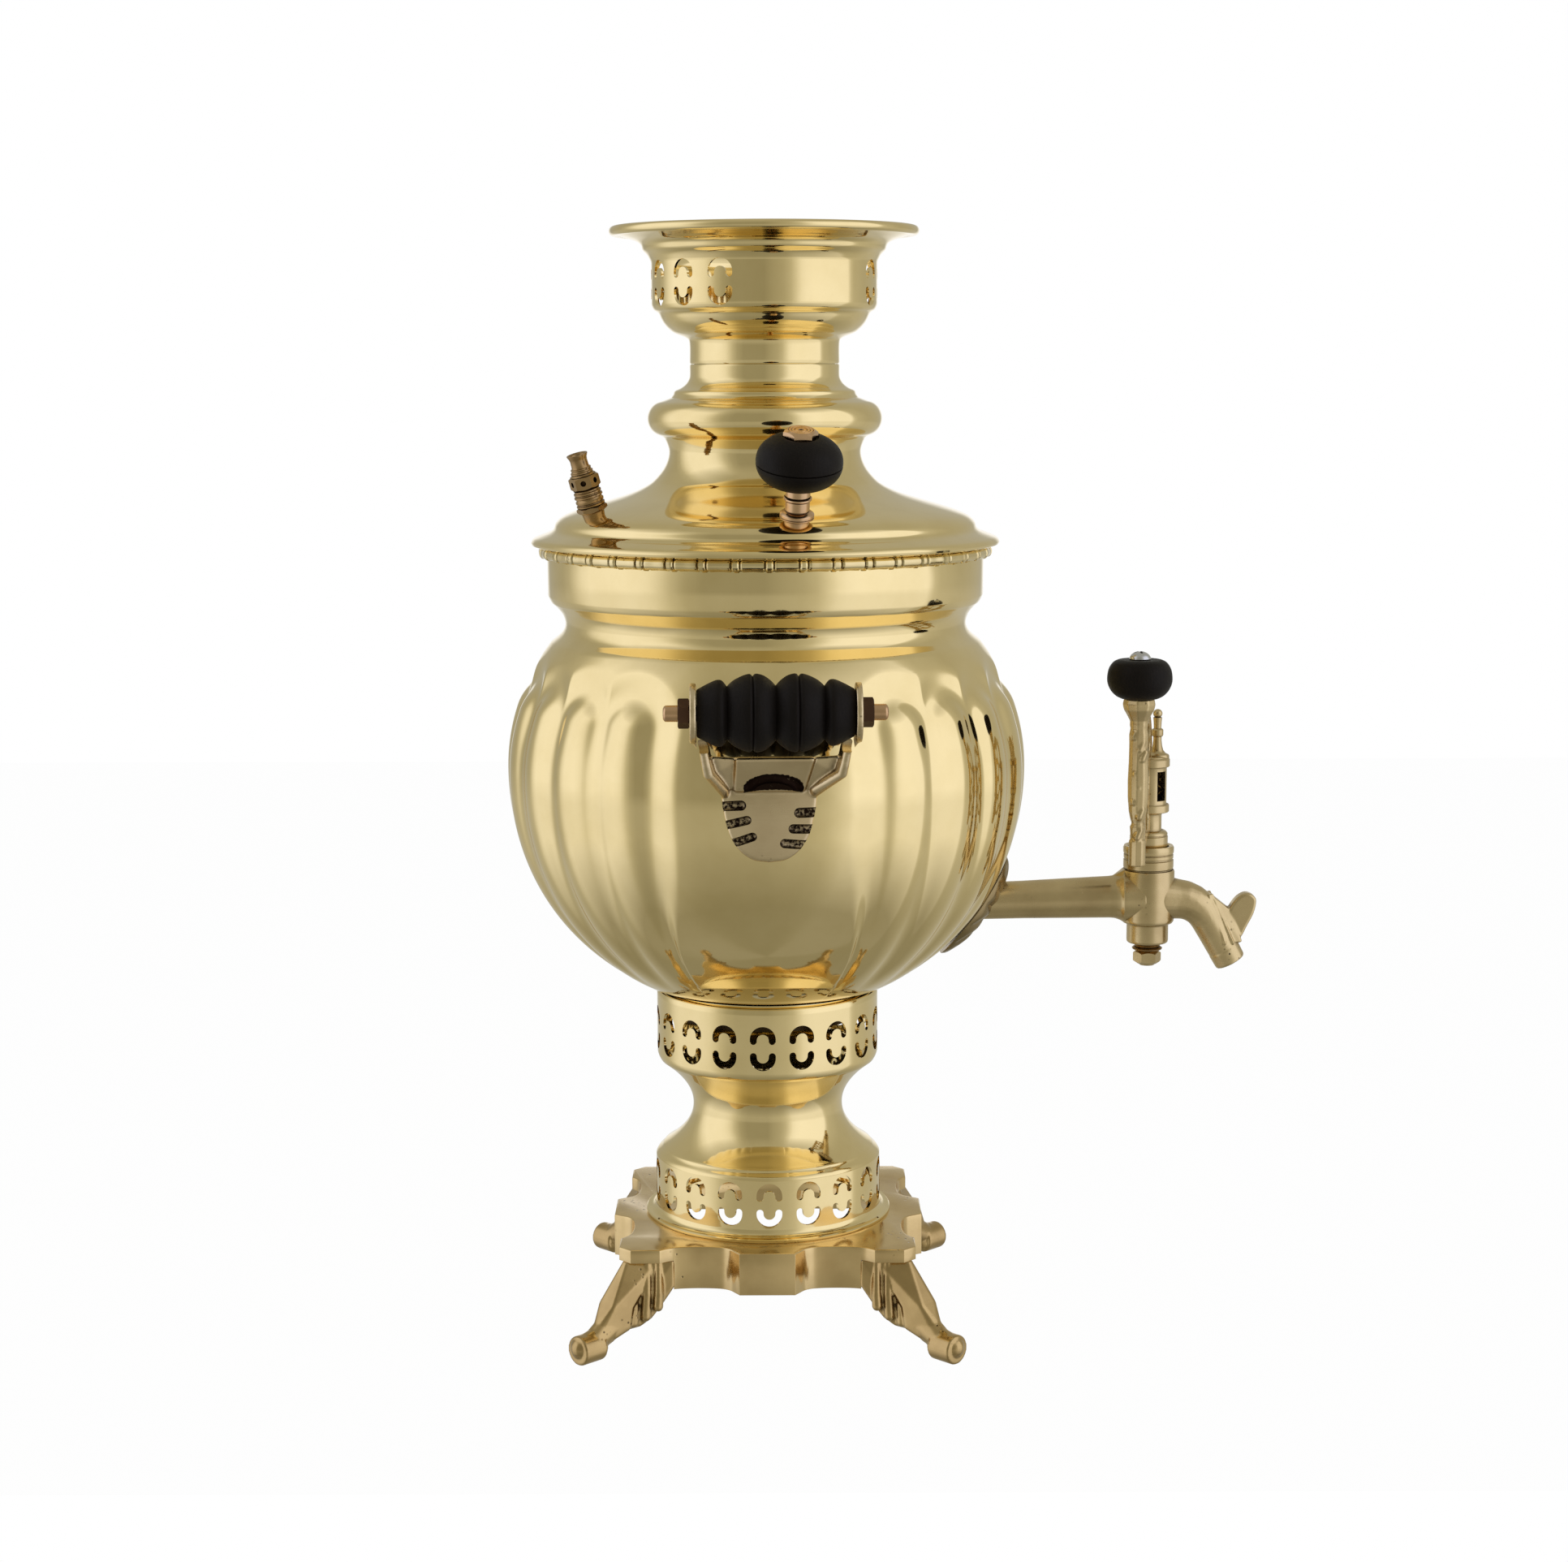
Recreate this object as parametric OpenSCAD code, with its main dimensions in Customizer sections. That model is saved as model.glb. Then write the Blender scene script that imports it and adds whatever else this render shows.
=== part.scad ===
// Charcoal samovar: a spun brass urn on a cast, four-footed base, with a turning tap.
// Millimetres, +Z up. The origin is under the middle of the urn, on the floor.
// The tap points along +X and the front handle along -Y.

/* [Foot plate and legs] */
// Height of the foot plate's top above the floor
plate_top = 43.8; // [40:0.2:56]
// Thickness of the plate's table
plate_t = 5.6; // [4:0.2:8]
// Depth of the skirt below the plate's top
skirt_h = 18; // [12:0.5:20]
// Wall of the skirt
skirt_t = 3.6; // [2.4:0.2:5]
// Distance from the axis to the flat facet in the middle of each side
facet_reach = 66.4; // [60:0.2:72]
// Half width of that facet
facet_half = 11.6; // [8:0.2:15]
// Distance from the axis to the hollow of each scallop
scallop_reach = 57.2; // [56:0.2:60]
// Distance from the axis to the sides of the corner blocks
corner_reach = 61.8; // [60:0.2:66]
// Width of each corner block along a side
corner_block = 17.5; // [12:0.5:22]
// Chamfer on the corner of each block
corner_chamfer = 5; // [2:0.5:8]
// Radius of the opening in the middle of the plate
plate_bore_r = 44; // [36:0.5:46]
// Distance of each paw's middle from the axis, along X and along Y
paw_reach = 73; // [70:0.5:80]
// Radius of the paw
paw_r = 6.3; // [5:0.1:7]
// Distance of each leg's knee from the axis, along X and along Y
knee_reach = 58.5; // [56:0.5:60]
// Radius of the knee
knee_r = 8.6; // [7:0.1:9]
// Height of the knee above the floor
knee_z = 26; // [24:0.5:28]
// Radius of each fold of a leg's flutes
fold_r = 2.7; // [2.6:0.05:3]
// Flat left and right of each leg that the skirt keeps free
leg_gap_half = 38.5; // [36:0.5:39]

/* [Pedestal] */
// Radius of the bottom flange
flange_r = 52.9; // [51:0.1:55]
// Thickness of the bottom flange
flange_t = 1.6; // [1:0.1:2.5]
// Radius of the lower, pierced ring
base_ring_r = 48.4; // [46.5:0.1:49]
// Radius of the upper, pierced ring
top_ring_r = 47.5; // [47:0.1:49]
// Radius of the waist
waist_r = 32.2; // [28:0.1:36]
// Height from the plate to the lower ring's shoulder
base_ring_h = 27.5; // [26:0.5:32]
// Height from the plate to the waist
waist_h = 47.4; // [44:0.2:50]
// Height from the plate to the upper ring's lower edge
top_ring_low = 68.6; // [66:0.2:72]
// Height from the plate to the upper ring's rim
pedestal_h = 99.7; // [98:0.1:108]
// Wall of the pedestal
pedestal_wall = 1.2; // [1:0.1:1.6]
// Number of piercings round each ring
pierce_count = 18; // [12:1:20]
// Half width of a piercing
pierce_half_w = 5.5; // [4:0.1:6]
// Half height of a piercing
pierce_half_h = 9; // [6:0.1:9.5]
// Radius of the button left standing in a piercing
button_r = 2.7; // [2:0.1:3.2]
// Half height of the bridge that holds the button
bridge_half = 1.3; // [0.8:0.1:1.8]

/* [Vessel] */
// Radius of the belly
belly_r = 110; // [107:0.5:114]
// Height of the belly's widest line above the pedestal's rim
belly_drop = 94.5; // [92:0.5:98]
// Half height of the belly's lower half
belly_low = 104; // [102:0.5:108]
// Half height of the belly's upper half
belly_up = 95.1; // [92:0.5:98]
// Radius of the groove under the collar
groove_r = 84.5; // [82:0.1:87]
// Height of that groove above the belly's widest line
groove_h = 61.6; // [60:0.2:64]
// Radius of the straight collar
collar_r = 91.7; // [90:0.1:94]
// Height of the collar's lower edge above the belly's widest line
collar_low = 74; // [72:0.2:76]
// Height of the collar's mouth above the belly's widest line
collar_top = 94.4; // [92:0.1:98]
// Wall of the vessel
vessel_wall = 1.2; // [1:0.1:1.6]
// Depth of the grooves between the lobes
lobe_depth = 2.6; // [1:0.1:3.4]
// Number of lobes on each side
lobe_count = 9; // [7:1:11]
// Half angle of the plain panel at the front and at the back
panel_half = 24.5; // [20:0.5:30]
// Height of the lobes' top above the belly's widest line
lobe_top = 39; // [34:0.5:42]
// Outer radius of the skirt that drops into the pedestal
spigot_r = 46.1; // [45:0.1:46.2]
// Depth of that skirt
spigot_h = 13; // [8:0.5:16]
// Outer radius of the beaded band
band_r = 95.6; // [94.5:0.1:97]
// Height of the beaded band
band_h = 5; // [3:0.1:6]
// Number of segments in the beaded band
band_count = 44; // [36:1:52]

/* [Fire tube] */
// Outer radius of the fire tube's neck
tube_r = 29.4; // [28:0.1:29.6]
// Outer radius of the fire tube's foot
tube_foot_r = 41; // [38:0.1:42]
// Wall of the fire tube
tube_wall = 1.4; // [1:0.1:2]
// Height of the tube's end above the lid's neck
tube_stand = 3.6; // [2:0.1:6]
// Height over which the tube narrows
tube_taper_h = 84; // [60:1:100]
// Thickness of the grate
grate_t = 2.6; // [2:0.1:4]
// Radius of the grate's holes
grate_hole_r = 2.8; // [2:0.1:3]

/* [Lid] */
// Radius of the lid's rim
lid_rim_r = 98.4; // [97:0.1:101]
// Radius of the shoulder inside the rim
lid_shoulder_r = 88.1; // [87:0.1:89.5]
// Radius of the hollow above the dome
lid_hollow_r = 40.3; // [38:0.1:43]
// Radius of the torus moulding
lid_torus_r = 49.1; // [46:0.1:52]
// Radius of the lid's neck
lid_neck_r = 31.3; // [31.3:0.1:33]
// Height of the hollow above the collar's mouth
lid_hollow_h = 39.2; // [37:0.2:42]
// Height of the torus moulding above the collar's mouth
lid_torus_h = 52.6; // [51:0.2:55]
// Height of the lid's neck above the collar's mouth
lid_h = 75.1; // [73:0.1:80]
// Wall of the lid and the crown
lid_wall = 1.2; // [1:0.1:1.5]
// Depth of the lid's plug inside the collar
lid_plug_h = 7; // [5:0.5:10]
// Distance from the axis to the knobs and the vent
fitting_reach = 82; // [80:0.5:84]
// Lean of the knobs and the vent, away from the axis
fitting_lean = 17; // [12:0.5:22]
// Direction of the front knob, from the tap's direction
knob_turn = -81; // [-90:1:-70]
// Direction of the vent, from the tap's direction
vent_turn = -147; // [-155:1:-140]

/* [Crown] */
// Radius of the pierced cup
cup_r = 47; // [45:0.1:49]
// Radius of the crown's rim
crown_rim_r = 64.4; // [60:0.1:68]
// Height of the cup's lower edge above the lid's neck
cup_low = 23.6; // [22:0.2:26]
// Height of the cup's upper edge above the lid's neck
cup_high = 42.6; // [41:0.2:46]
// Height of the crown
crown_h = 56.4; // [54:0.2:60]
// Radius of the bead round the rim
bead_r = 2; // [1.5:0.1:2.4]
// Number of piercings in each of the crown's two groups
crown_pierce_count = 5; // [3:1:6]
// Angle between those piercings
crown_pierce_step = 22.3; // [18:0.1:24]
// Middle of the first group, from the tap's direction
crown_pierce_turn = 23.4; // [0:0.1:40]

/* [Knobs] */
// Radius of the lid's knobs
knob_r = 17.1; // [14:0.1:19]
// Height of the lid's knobs
knob_h = 20.8; // [17:0.1:24]
// Height of the knob's stem above the lid
stem_h = 13.6; // [12:0.1:18]
// Radius of the stem
stem_r = 4.8; // [4:0.1:5.2]
// Radius of the stem's ring
stem_ring_r = 6.8; // [6:0.1:7.5]
// Radius of the stud that runs through knob and lid
stud_r = 2.5; // [2:0.1:3]
// Distance across the flats of the knob's nut
knob_nut_af = 12; // [10:0.5:13]
// Thickness of the knob's nut
knob_nut_t = 3.6; // [3:0.1:5]

/* [Vent] */
// Radius of the vent's hexagons, over the corners
vent_hex_r = 6.4; // [5.5:0.1:7]
// Height of the vent's fixed base
vent_base_h = 9; // [7:0.5:11]
// Height of the vent's turning cap
vent_cap_h = 21; // [18:0.5:24]
// Radius of the pin that the cap turns on
vent_pin_r = 3; // [2.6:0.1:3.2]

/* [Handles] */
// Direction of the front handle, from straight ahead
handle_turn = 2; // [-4:0.5:4]
// Distance from the axis to the grip's middle line
grip_reach = 130; // [128:0.5:136]
// Height of the grip above the belly's widest line
grip_h = 38.8; // [36:0.2:42]
// Length of the grip
grip_l = 60; // [56:0.5:70]
// Largest radius of the grip
grip_r = 14.9; // [12:0.1:16]
// Radius of the rod through the grip
rod_r = 3.2; // [2.5:0.1:3.6]
// Length of the rod
rod_l = 85.6; // [82:0.5:98]
// Thickness of the bracket's ears
ear_t = 2.6; // [2:0.1:4]
// Radius of the bracket's ears
ear_r = 11.5; // [9:0.1:13]
// Half width of the bracket's shield
shield_half = 17.6; // [15:0.1:20]
// Height of the shield
shield_h = 30; // [26:0.5:36]
// Thickness of the shield
shield_t = 3.6; // [2.5:0.1:5]
// Distance across the flats of the rod's nuts
rod_nut_af = 10; // [9:0.5:13]
// Thickness of the rod's nuts
rod_nut_t = 4.4; // [3:0.1:6]

/* [Tap] */
// Distance from the axis to the tap's plug
plug_reach = 163.6; // [160:0.2:170]
// Height of the tap's tube above the pedestal's rim
tap_h = 37.3; // [34:0.1:42]
// Radius of the tube at the belly
tap_tube_r = 8.4; // [7.5:0.1:9]
// Radius of the tube at the plug's housing
tap_tube_end_r = 8.9; // [8:0.1:9.5]
// Radius of the shank that passes through the belly's wall
shank_r = 7.2; // [6:0.1:7.3]
// Radius of the passage through tube and spout
flow_r = 4.6; // [3.5:0.1:5]
// Radius of the plug's housing
housing_r = 11.2; // [10:0.1:12]
// Length of the housing above the tube's middle line
housing_up = 12; // [11:0.1:14]
// Length of the housing below the tube's middle line
housing_down = 11.3; // [10.5:0.1:14]
// Radius of the ring on the housing
cup_ring_r = 10.7; // [10:0.1:12]
// Height of the ring on the housing
cup_ring_h = 10.4; // [8:0.1:12]
// Radius of the housing's lower collar
low_collar_r = 8.9; // [8.4:0.1:10]
// Height of the housing's lower collar
low_collar_h = 8.5; // [6:0.1:10]
// Radius of the plug
plug_r = 5.6; // [5.2:0.1:5.8]
// Radial clearance of the plug in its bore
plug_clear = 0.05; // [0.02:0.01:0.1]
// Radius of the spout's bend, along its middle line
spout_bend_r = 19; // [17:0.5:22]
// Angle that the spout turns down by
spout_turn = 65; // [55:1:75]
// Length of the spout below its bend
spout_l = 18.5; // [14:0.5:22]
// Radius of the spout
spout_r = 7.2; // [6.5:0.1:8]
// Radius of the spout's mouth
spout_mouth_r = 6.3; // [5.8:0.1:7]
// Thickness of the hanging lug
lug_t = 6.4; // [5:0.2:8]
// Half length of the escutcheon
scutcheon_half_l = 26; // [22:0.5:30]
// Half width of the escutcheon
scutcheon_half_w = 18; // [15:0.5:22]
// Thickness of the escutcheon's middle
scutcheon_t = 6; // [4:0.2:8]
// Radius of the nut inside the vessel
shank_nut_r = 11; // [10:0.2:13]
// Thickness of that nut
shank_nut_t = 5; // [4:0.2:7]

/* [Key] */
// Turn of the key's branch, from straight ahead towards the belly
key_turn = 14; // [0:1:20]
// Distance from the plug's axis to the key's stalk
stalk_reach = 41.2; // [38:0.2:43]
// Radius of the stalk
stalk_r = 3.6; // [3:0.1:4.2]
// Thickness of the openwork between stalk and spindle
branch_t = 2.4; // [1.8:0.1:3]
// Radius of the key's knob
key_knob_r = 13.35; // [11:0.05:14]
// Height of the key's knob
key_knob_h = 16; // [13:0.5:18]
// Height of the knob's underside above the plug's shoulder
key_knob_low = 71; // [69:0.5:76]
// Radius of the plug's shoulder
shoulder_r = 8.1; // [7.4:0.1:8.6]
// Height of the shoulder
shoulder_h = 9.6; // [8:0.1:11]
// Radius of the spindle's neck
neck_r = 5.3; // [4.5:0.1:5.6]
// Height of the spindle's neck
neck_h = 8; // [7:0.1:9]
// Radius of the lantern
lantern_r = 7.2; // [6.5:0.1:7.6]
// Height of the lantern between its collars
lantern_h = 16.2; // [14:0.1:18]
// Radius of the lantern's collars
lantern_collar_r = 8.4; // [8:0.1:9]
// Height of each of the lantern's collars
lantern_collar_h = 3.4; // [2.5:0.1:4]

/* [Hidden] */
$fn = 72;

// clearances
fit_gap = 0.1;          // between pieces that are soldered, screwed or clamped together
lift_gap = 0.4;         // round what lifts off by hand
over = 1;               // how far a cutter runs past what it cuts
seam_step = 0.25;       // keeps the lobed wall just inside the turned walls that it meets

// heights that follow from the sizes above
pedestal_top = plate_top + pedestal_h;
belly_z = pedestal_top + belly_drop;
mouth_z = belly_z + collar_top;
neck_z = mouth_z + lid_h;
crown_top = neck_z + crown_h;
tap_z = pedestal_top + tap_h;
grip_z = belly_z + grip_h;
tube_top = neck_z + tube_stand;
floor_z = pedestal_top + 1.5;
spigot_z = pedestal_top - spigot_h;
seat_lip = 1.3;          // the vessel's foot reaches this far past the pedestal's top ring
tube_bottom = spigot_z + 1;
lobe_top_z = belly_z + lobe_top;
lobe_low_z = pedestal_top + 5;
collar_in_r = collar_r - vessel_wall;
ring_z = tap_z + housing_up;
shoulder_z = ring_z + cup_ring_h - 3;
collar_bottom_z = tap_z - housing_down - low_collar_h;

// Points of an arc of an ellipse round (cx, cy)
function arc(cx, cy, rx, ry, a0, a1, n) =
    [for (i = [0:n]) let (a = a0 + (a1 - a0) * i / n) [cx + rx * cos(a), cy + ry * sin(a)]];

// A smooth curve through the points p, with n steps between each two of them
function curve_at(a, b, c, d, t) =
    0.5 * ((2 * b) + (c - a) * t + (2 * a - 5 * b + 4 * c - d) * t * t + (3 * b - a - 3 * c + d) * t * t * t);
function curve(p, n) = concat(
    [for (k = [0:len(p) - 2]) for (i = [0:n - 1])
        curve_at(p[max(k - 1, 0)], p[k], p[k + 1], p[min(k + 2, len(p) - 1)], i / n)],
    [p[len(p) - 1]]);

function reversed(p) = [for (i = [len(p) - 1:-1:0]) p[i]];
function unit2(v) = v / norm(v);
// The outline p, which runs upwards, moved inwards by w
function inward(p, w) = [for (i = [0:len(p) - 1])
    let (d = unit2(p[min(i + 1, len(p) - 1)] - p[max(i - 1, 0)])) p[i] + w * [-d[1], d[0]]];
function smooth_step(t) = let (s = max(0, min(1, t))) s * s * (3 - 2 * s);

module spun(p) { rotate_extrude() polygon(p); }
// A turned solid that fills the outline p as far as the axis
module spun_solid(p) { spun(concat([[0, p[0][1]]], p, [[0, p[len(p) - 1][1]]])); }
module along_x(l, r1, r2) { rotate([0, 90, 0]) cylinder(h = l, r1 = r1, r2 = r2); }
module hexagon(af, h) { cylinder(h = h, r = af / 2 / cos(30), $fn = 6); }

// ---- foot plate and legs

// Outline of one side of the plate, from its left corner to its right one, at the side facing -Y
function half_side(inset) = curve([
    [facet_half + inset * 0.2, inset - facet_reach],
    [facet_half + 1.5, inset - (facet_reach + scallop_reach) / 2],
    [facet_half + 6.5, inset - scallop_reach - 0.5],
    [(facet_half + corner_reach - corner_block) / 2, inset - scallop_reach],
    [corner_reach - corner_block - 6, inset - scallop_reach - 0.7],
    [corner_reach - corner_block, inset - corner_reach]], 3);
function side(inset) = let (h = half_side(inset)) concat(
    [[-(corner_reach - inset - corner_chamfer), inset - corner_reach]],
    reversed([for (p = h) [-p[0], p[1]]]), h,
    [[corner_reach - inset - corner_chamfer, inset - corner_reach]]);
function turned(p, a) = [for (q = p) [q[0] * cos(a) - q[1] * sin(a), q[0] * sin(a) + q[1] * cos(a)]];
function plate_outline(inset) = [for (k = [0:3]) each turned(side(inset), 90 * k)];

module foot_plate() {
    table_low = plate_top - plate_t;
    color("darkgoldenrod") difference() {
        translate([0, 0, plate_top - skirt_h]) linear_extrude(skirt_h) polygon(plate_outline(0));
        translate([0, 0, plate_top - skirt_h - over])
            linear_extrude(skirt_h - plate_t + over) polygon(plate_outline(skirt_t));
        for (k = [0:3]) rotate(90 * k)
            translate([leg_gap_half, leg_gap_half, plate_top - skirt_h - over])
                cube([facet_reach, facet_reach, skirt_h - plate_t + over]);
        translate([0, 0, table_low - over]) cylinder(h = plate_t + 2 * over, r = plate_bore_r);
    }
}

module ball(x, y, z, r) { translate([x, y, z]) sphere(r = r, $fn = 12); }
module fold(top, foot) {
    hull() {
        ball(top[0], top[1], top[2], fold_r);
        ball(foot[0], foot[1], foot[2], fold_r);
    }
}
// The three folds along one side of a leg, from the outermost one inwards
module flutes() {
    table_low = plate_top - plate_t;
    wall_y = corner_reach - fold_r;
    step = 4.9;
    first = leg_gap_half + 3 * fold_r + step;
    for (k = [0:2])
        fold([first + 2.6 - step * k, wall_y - 1.5, table_low - 1],
             [first - step * k, wall_y + 1, 11.5 + 0.9 * k * k + 2 * k]);
}
module leg() {
    table_low = plate_top - plate_t;
    ankle = (knee_reach + paw_reach) / 2 + 0.6;
    color("goldenrod") intersection() {
        translate([leg_gap_half + 0.3, leg_gap_half + 0.3, 0])
            cube([2 * paw_reach, 2 * paw_reach, table_low]);
        union() {
            flutes();
            mirror([1, -1, 0]) flutes();
            hull() {
                ball(knee_reach - 5, knee_reach - 5, table_low - 1, knee_r - 1.5);
                ball(knee_reach, knee_reach, knee_z, knee_r);
                ball(knee_reach - 8, knee_reach - 8, knee_z - 6, knee_r - 3);
            }
            hull() {
                ball(knee_reach + 0.5, knee_reach + 0.5, knee_z - 1, knee_r - 1);
                ball(ankle, ankle, 12.5, 4.6);
            }
            hull() {
                ball(ankle, ankle, 12, 4.6);
                ball(paw_reach - 1, paw_reach - 1, paw_r, paw_r + 0.4);
            }
            hull() {
                ball(paw_reach, paw_reach, paw_r - 0.4, paw_r);
                ball(paw_reach + 3.6, paw_reach + 3.6, paw_r + 1.2, paw_r - 1);
            }
        }
    }
}
module leg_front_left() { rotate(180) leg(); }
module leg_front_right() { mirror([0, 1, 0]) leg(); }
module leg_back_left() { mirror([1, 0, 0]) leg(); }
module leg_back_right() { leg(); }

// ---- pedestal

// One half of the waist: a parabola from the narrowest ring out to a shoulder
function throat(ring_r, ring_z, n) = [for (i = [0:n]) let (t = i / n)
    [waist_r + (ring_r - waist_r) * t * t, plate_top + waist_h + (ring_z - plate_top - waist_h) * t]];

function pedestal_outline() =
    let (cove = 3, shoulder = plate_top + base_ring_h, low = plate_top + top_ring_low) concat(
        [[flange_r, plate_top], [flange_r, plate_top + flange_t]],
        arc(base_ring_r + cove, plate_top + flange_t + cove, cove, cove, 270, 180, 4),
        [[base_ring_r - 0.8, shoulder - 2.4], [base_ring_r - 1.4, shoulder - 0.6]],
        reversed([for (p = throat(base_ring_r - 2.6, shoulder + 1, 10)) p]),
        [for (i = [1:10]) throat(top_ring_r - 1.2, low - 0.4, 10)[i]],
        [[top_ring_r - 0.3, low + 1], [top_ring_r, low + 3], [top_ring_r, pedestal_top]]);

// The upper half-moon of a piercing
function half_moon() = concat(
    arc(0, 0, pierce_half_w, pierce_half_h, 14, 166, 10),
    arc(0, 0, button_r, button_r + 1.2, 158, 22, 6));
// Both half-moons, cut outwards from the axis through a wall of radius r
module piercing(r) {
    for (side = [0, 1]) mirror([0, 0, side])
        translate([r + 2, 0, 0]) rotate([90, 0, -90])
            linear_extrude(10) intersection() {
                polygon(half_moon());
                translate([-pierce_half_w - over, bridge_half])
                    square([2 * pierce_half_w + 2 * over, pierce_half_h + over]);
            }
}
module ring_of_piercings(r, z) {
    for (k = [0:pierce_count - 1]) rotate(360 / pierce_count * k - 90) translate([0, 0, z]) piercing(r);
}

module pedestal() {
    outer = pedestal_outline();
    shell = inward(outer, pedestal_wall);
    color("gold") difference() {
        spun(concat(outer, reversed([for (i = [4:len(shell) - 1]) shell[i]]),
                    [[plate_bore_r + 0.5, plate_top + flange_t], [plate_bore_r + 0.5, plate_top]]));
        ring_of_piercings(base_ring_r, plate_top + 15.6);
        ring_of_piercings(top_ring_r, plate_top + 82.4);
    }
}

// ---- vessel

// Radius of the belly at the height z
function belly(z) = let (u = (z - belly_z) / (z < belly_z ? belly_low : belly_up),
                         power = z < belly_z ? 2.06 : 2)
    belly_r * pow(max(0, 1 - pow(abs(u), power)), 1 / power);
function belly_points(z0, z1, n) = [for (i = [0:n]) let (z = z0 + (z1 - z0) * i / n) [belly(z), z]];
// The groove under the collar and the collar itself, above the belly
function collar_points() = concat(
    curve([[belly(belly_z + groove_h - 7.5), belly_z + groove_h - 7.5],
           [groove_r + 1.6, belly_z + groove_h - 3.8],
           [groove_r, belly_z + groove_h],
           [groove_r + 1.2, belly_z + groove_h + 4.4],
           [groove_r + 4.2, belly_z + groove_h + 8],
           [collar_r - 1.3, collar_low + belly_z - 2.8],
           [collar_r, collar_low + belly_z]], 3),
    [[collar_r, mouth_z]]);

// The lobed wall: how far its grooves go in at the angle a from the front panel's middle, at height z
lobe_pitch = (180 - 2 * panel_half) / lobe_count;
lobe_steps = 6;
panel_steps = 8;
lobe_rows = 14;
function groove_shape(u) = (1 - sqrt(1 - 0.92 * u * u)) / (1 - sqrt(0.08));
function lobe_fade(z) = smooth_step((lobe_top_z - z) / 15) * smooth_step((z - lobe_low_z + 1) / 10);
half_turn_columns = concat(
    [for (i = [0:panel_steps - 1]) [2 * panel_half * i / panel_steps, 0]],
    [for (k = [0:lobe_count - 1]) for (i = [0:lobe_steps - 1])
        [2 * panel_half + lobe_pitch * (k + i / lobe_steps), abs(2 * i / lobe_steps - 1)]]);
columns = concat([for (c = half_turn_columns) [c[0] - 90 - panel_half, c[1]]],
                 [for (c = half_turn_columns) [c[0] + 90 - panel_half, c[1]]]);
function groove_at(i) = columns[i][1] == 0 && (i % len(half_turn_columns)) <= panel_steps ? 0 : groove_shape(columns[i][1]);

module lobed_wall() {
    n = len(columns);
    points = [for (j = [0:lobe_rows]) let (z = lobe_low_z + (lobe_top_z - lobe_low_z) * j / lobe_rows)
        for (i = [0:n - 1]) let (r = belly(z) - seam_step - lobe_depth * groove_at(i) * lobe_fade(z))
            [r * cos(columns[i][0]), r * sin(columns[i][0]), z]];
    faces = concat(
        [for (j = [0:lobe_rows - 1]) for (i = [0:n - 1]) let (a = j * n + i, b = j * n + (i + 1) % n)
            [a, a + n, b + n]],
        [for (j = [0:lobe_rows - 1]) for (i = [0:n - 1]) let (a = j * n + i, b = j * n + (i + 1) % n)
            [a, b + n, b]],
        [[for (i = [0:n - 1]) i]],
        [[for (i = [n - 1:-1:0]) lobe_rows * n + i]]);
    polyhedron(points, faces);
}

// The water space, as far as the axis: its wall is thick enough for the grooves between the lobes
cavity_drop = vessel_wall + lobe_depth;
function wall_at(z) = vessel_wall
    + lobe_depth * smooth_step((lobe_top_z + 6 - z) / 15) * smooth_step((z - lobe_low_z + 4) / 10);
module cavity(shrink) {
    wall_low = pedestal_top + 0.7;
    wall_top = belly_z + groove_h - 7.5;
    outer = belly_points(wall_low, wall_top, 24);
    mid = [for (i = [0:len(outer) - 1])
        let (d = unit2(outer[min(i + 1, 24)] - outer[max(i - 1, 0)])) outer[i] + (wall_at(outer[i][1]) + shrink) * [-d[1], d[0]]];
    spun_solid(concat(
        [[mid[0][0] - 1, floor_z + shrink]],
        [for (i = [1:24]) if (mid[i][1] < wall_top + 0.8) mid[i]],
        [for (p = inward(collar_points(), vessel_wall + shrink)) if (p[1] > wall_top + 1.5) p],
        [[collar_in_r - shrink, mouth_z + over]]));
}

module body_vessel() {
    $fn = 180;
    tube_hole_r = tube_foot_r + fit_gap;
    color("gold") difference() {
        union() {
            lobed_wall();
            spun_solid(concat(belly_points(lobe_top_z, belly_z + groove_h - 9, 5), collar_points()));
            spun_solid(concat([[spigot_r, spigot_z], [spigot_r, pedestal_top], [top_ring_r + seat_lip, pedestal_top]],
                              belly_points(pedestal_top + 0.7, lobe_low_z, 4)));
        }
        cavity(0);
        translate([0, 0, spigot_z - over])
            cylinder(h = pedestal_top - 1 - spigot_z + over, r = spigot_r - vessel_wall);
        cylinder(h = floor_z + over, r = tube_hole_r);
        translate([tube_r, 0, tap_z]) along_x(belly_r, shank_r + fit_gap, shank_r + fit_gap);
    }
}

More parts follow.
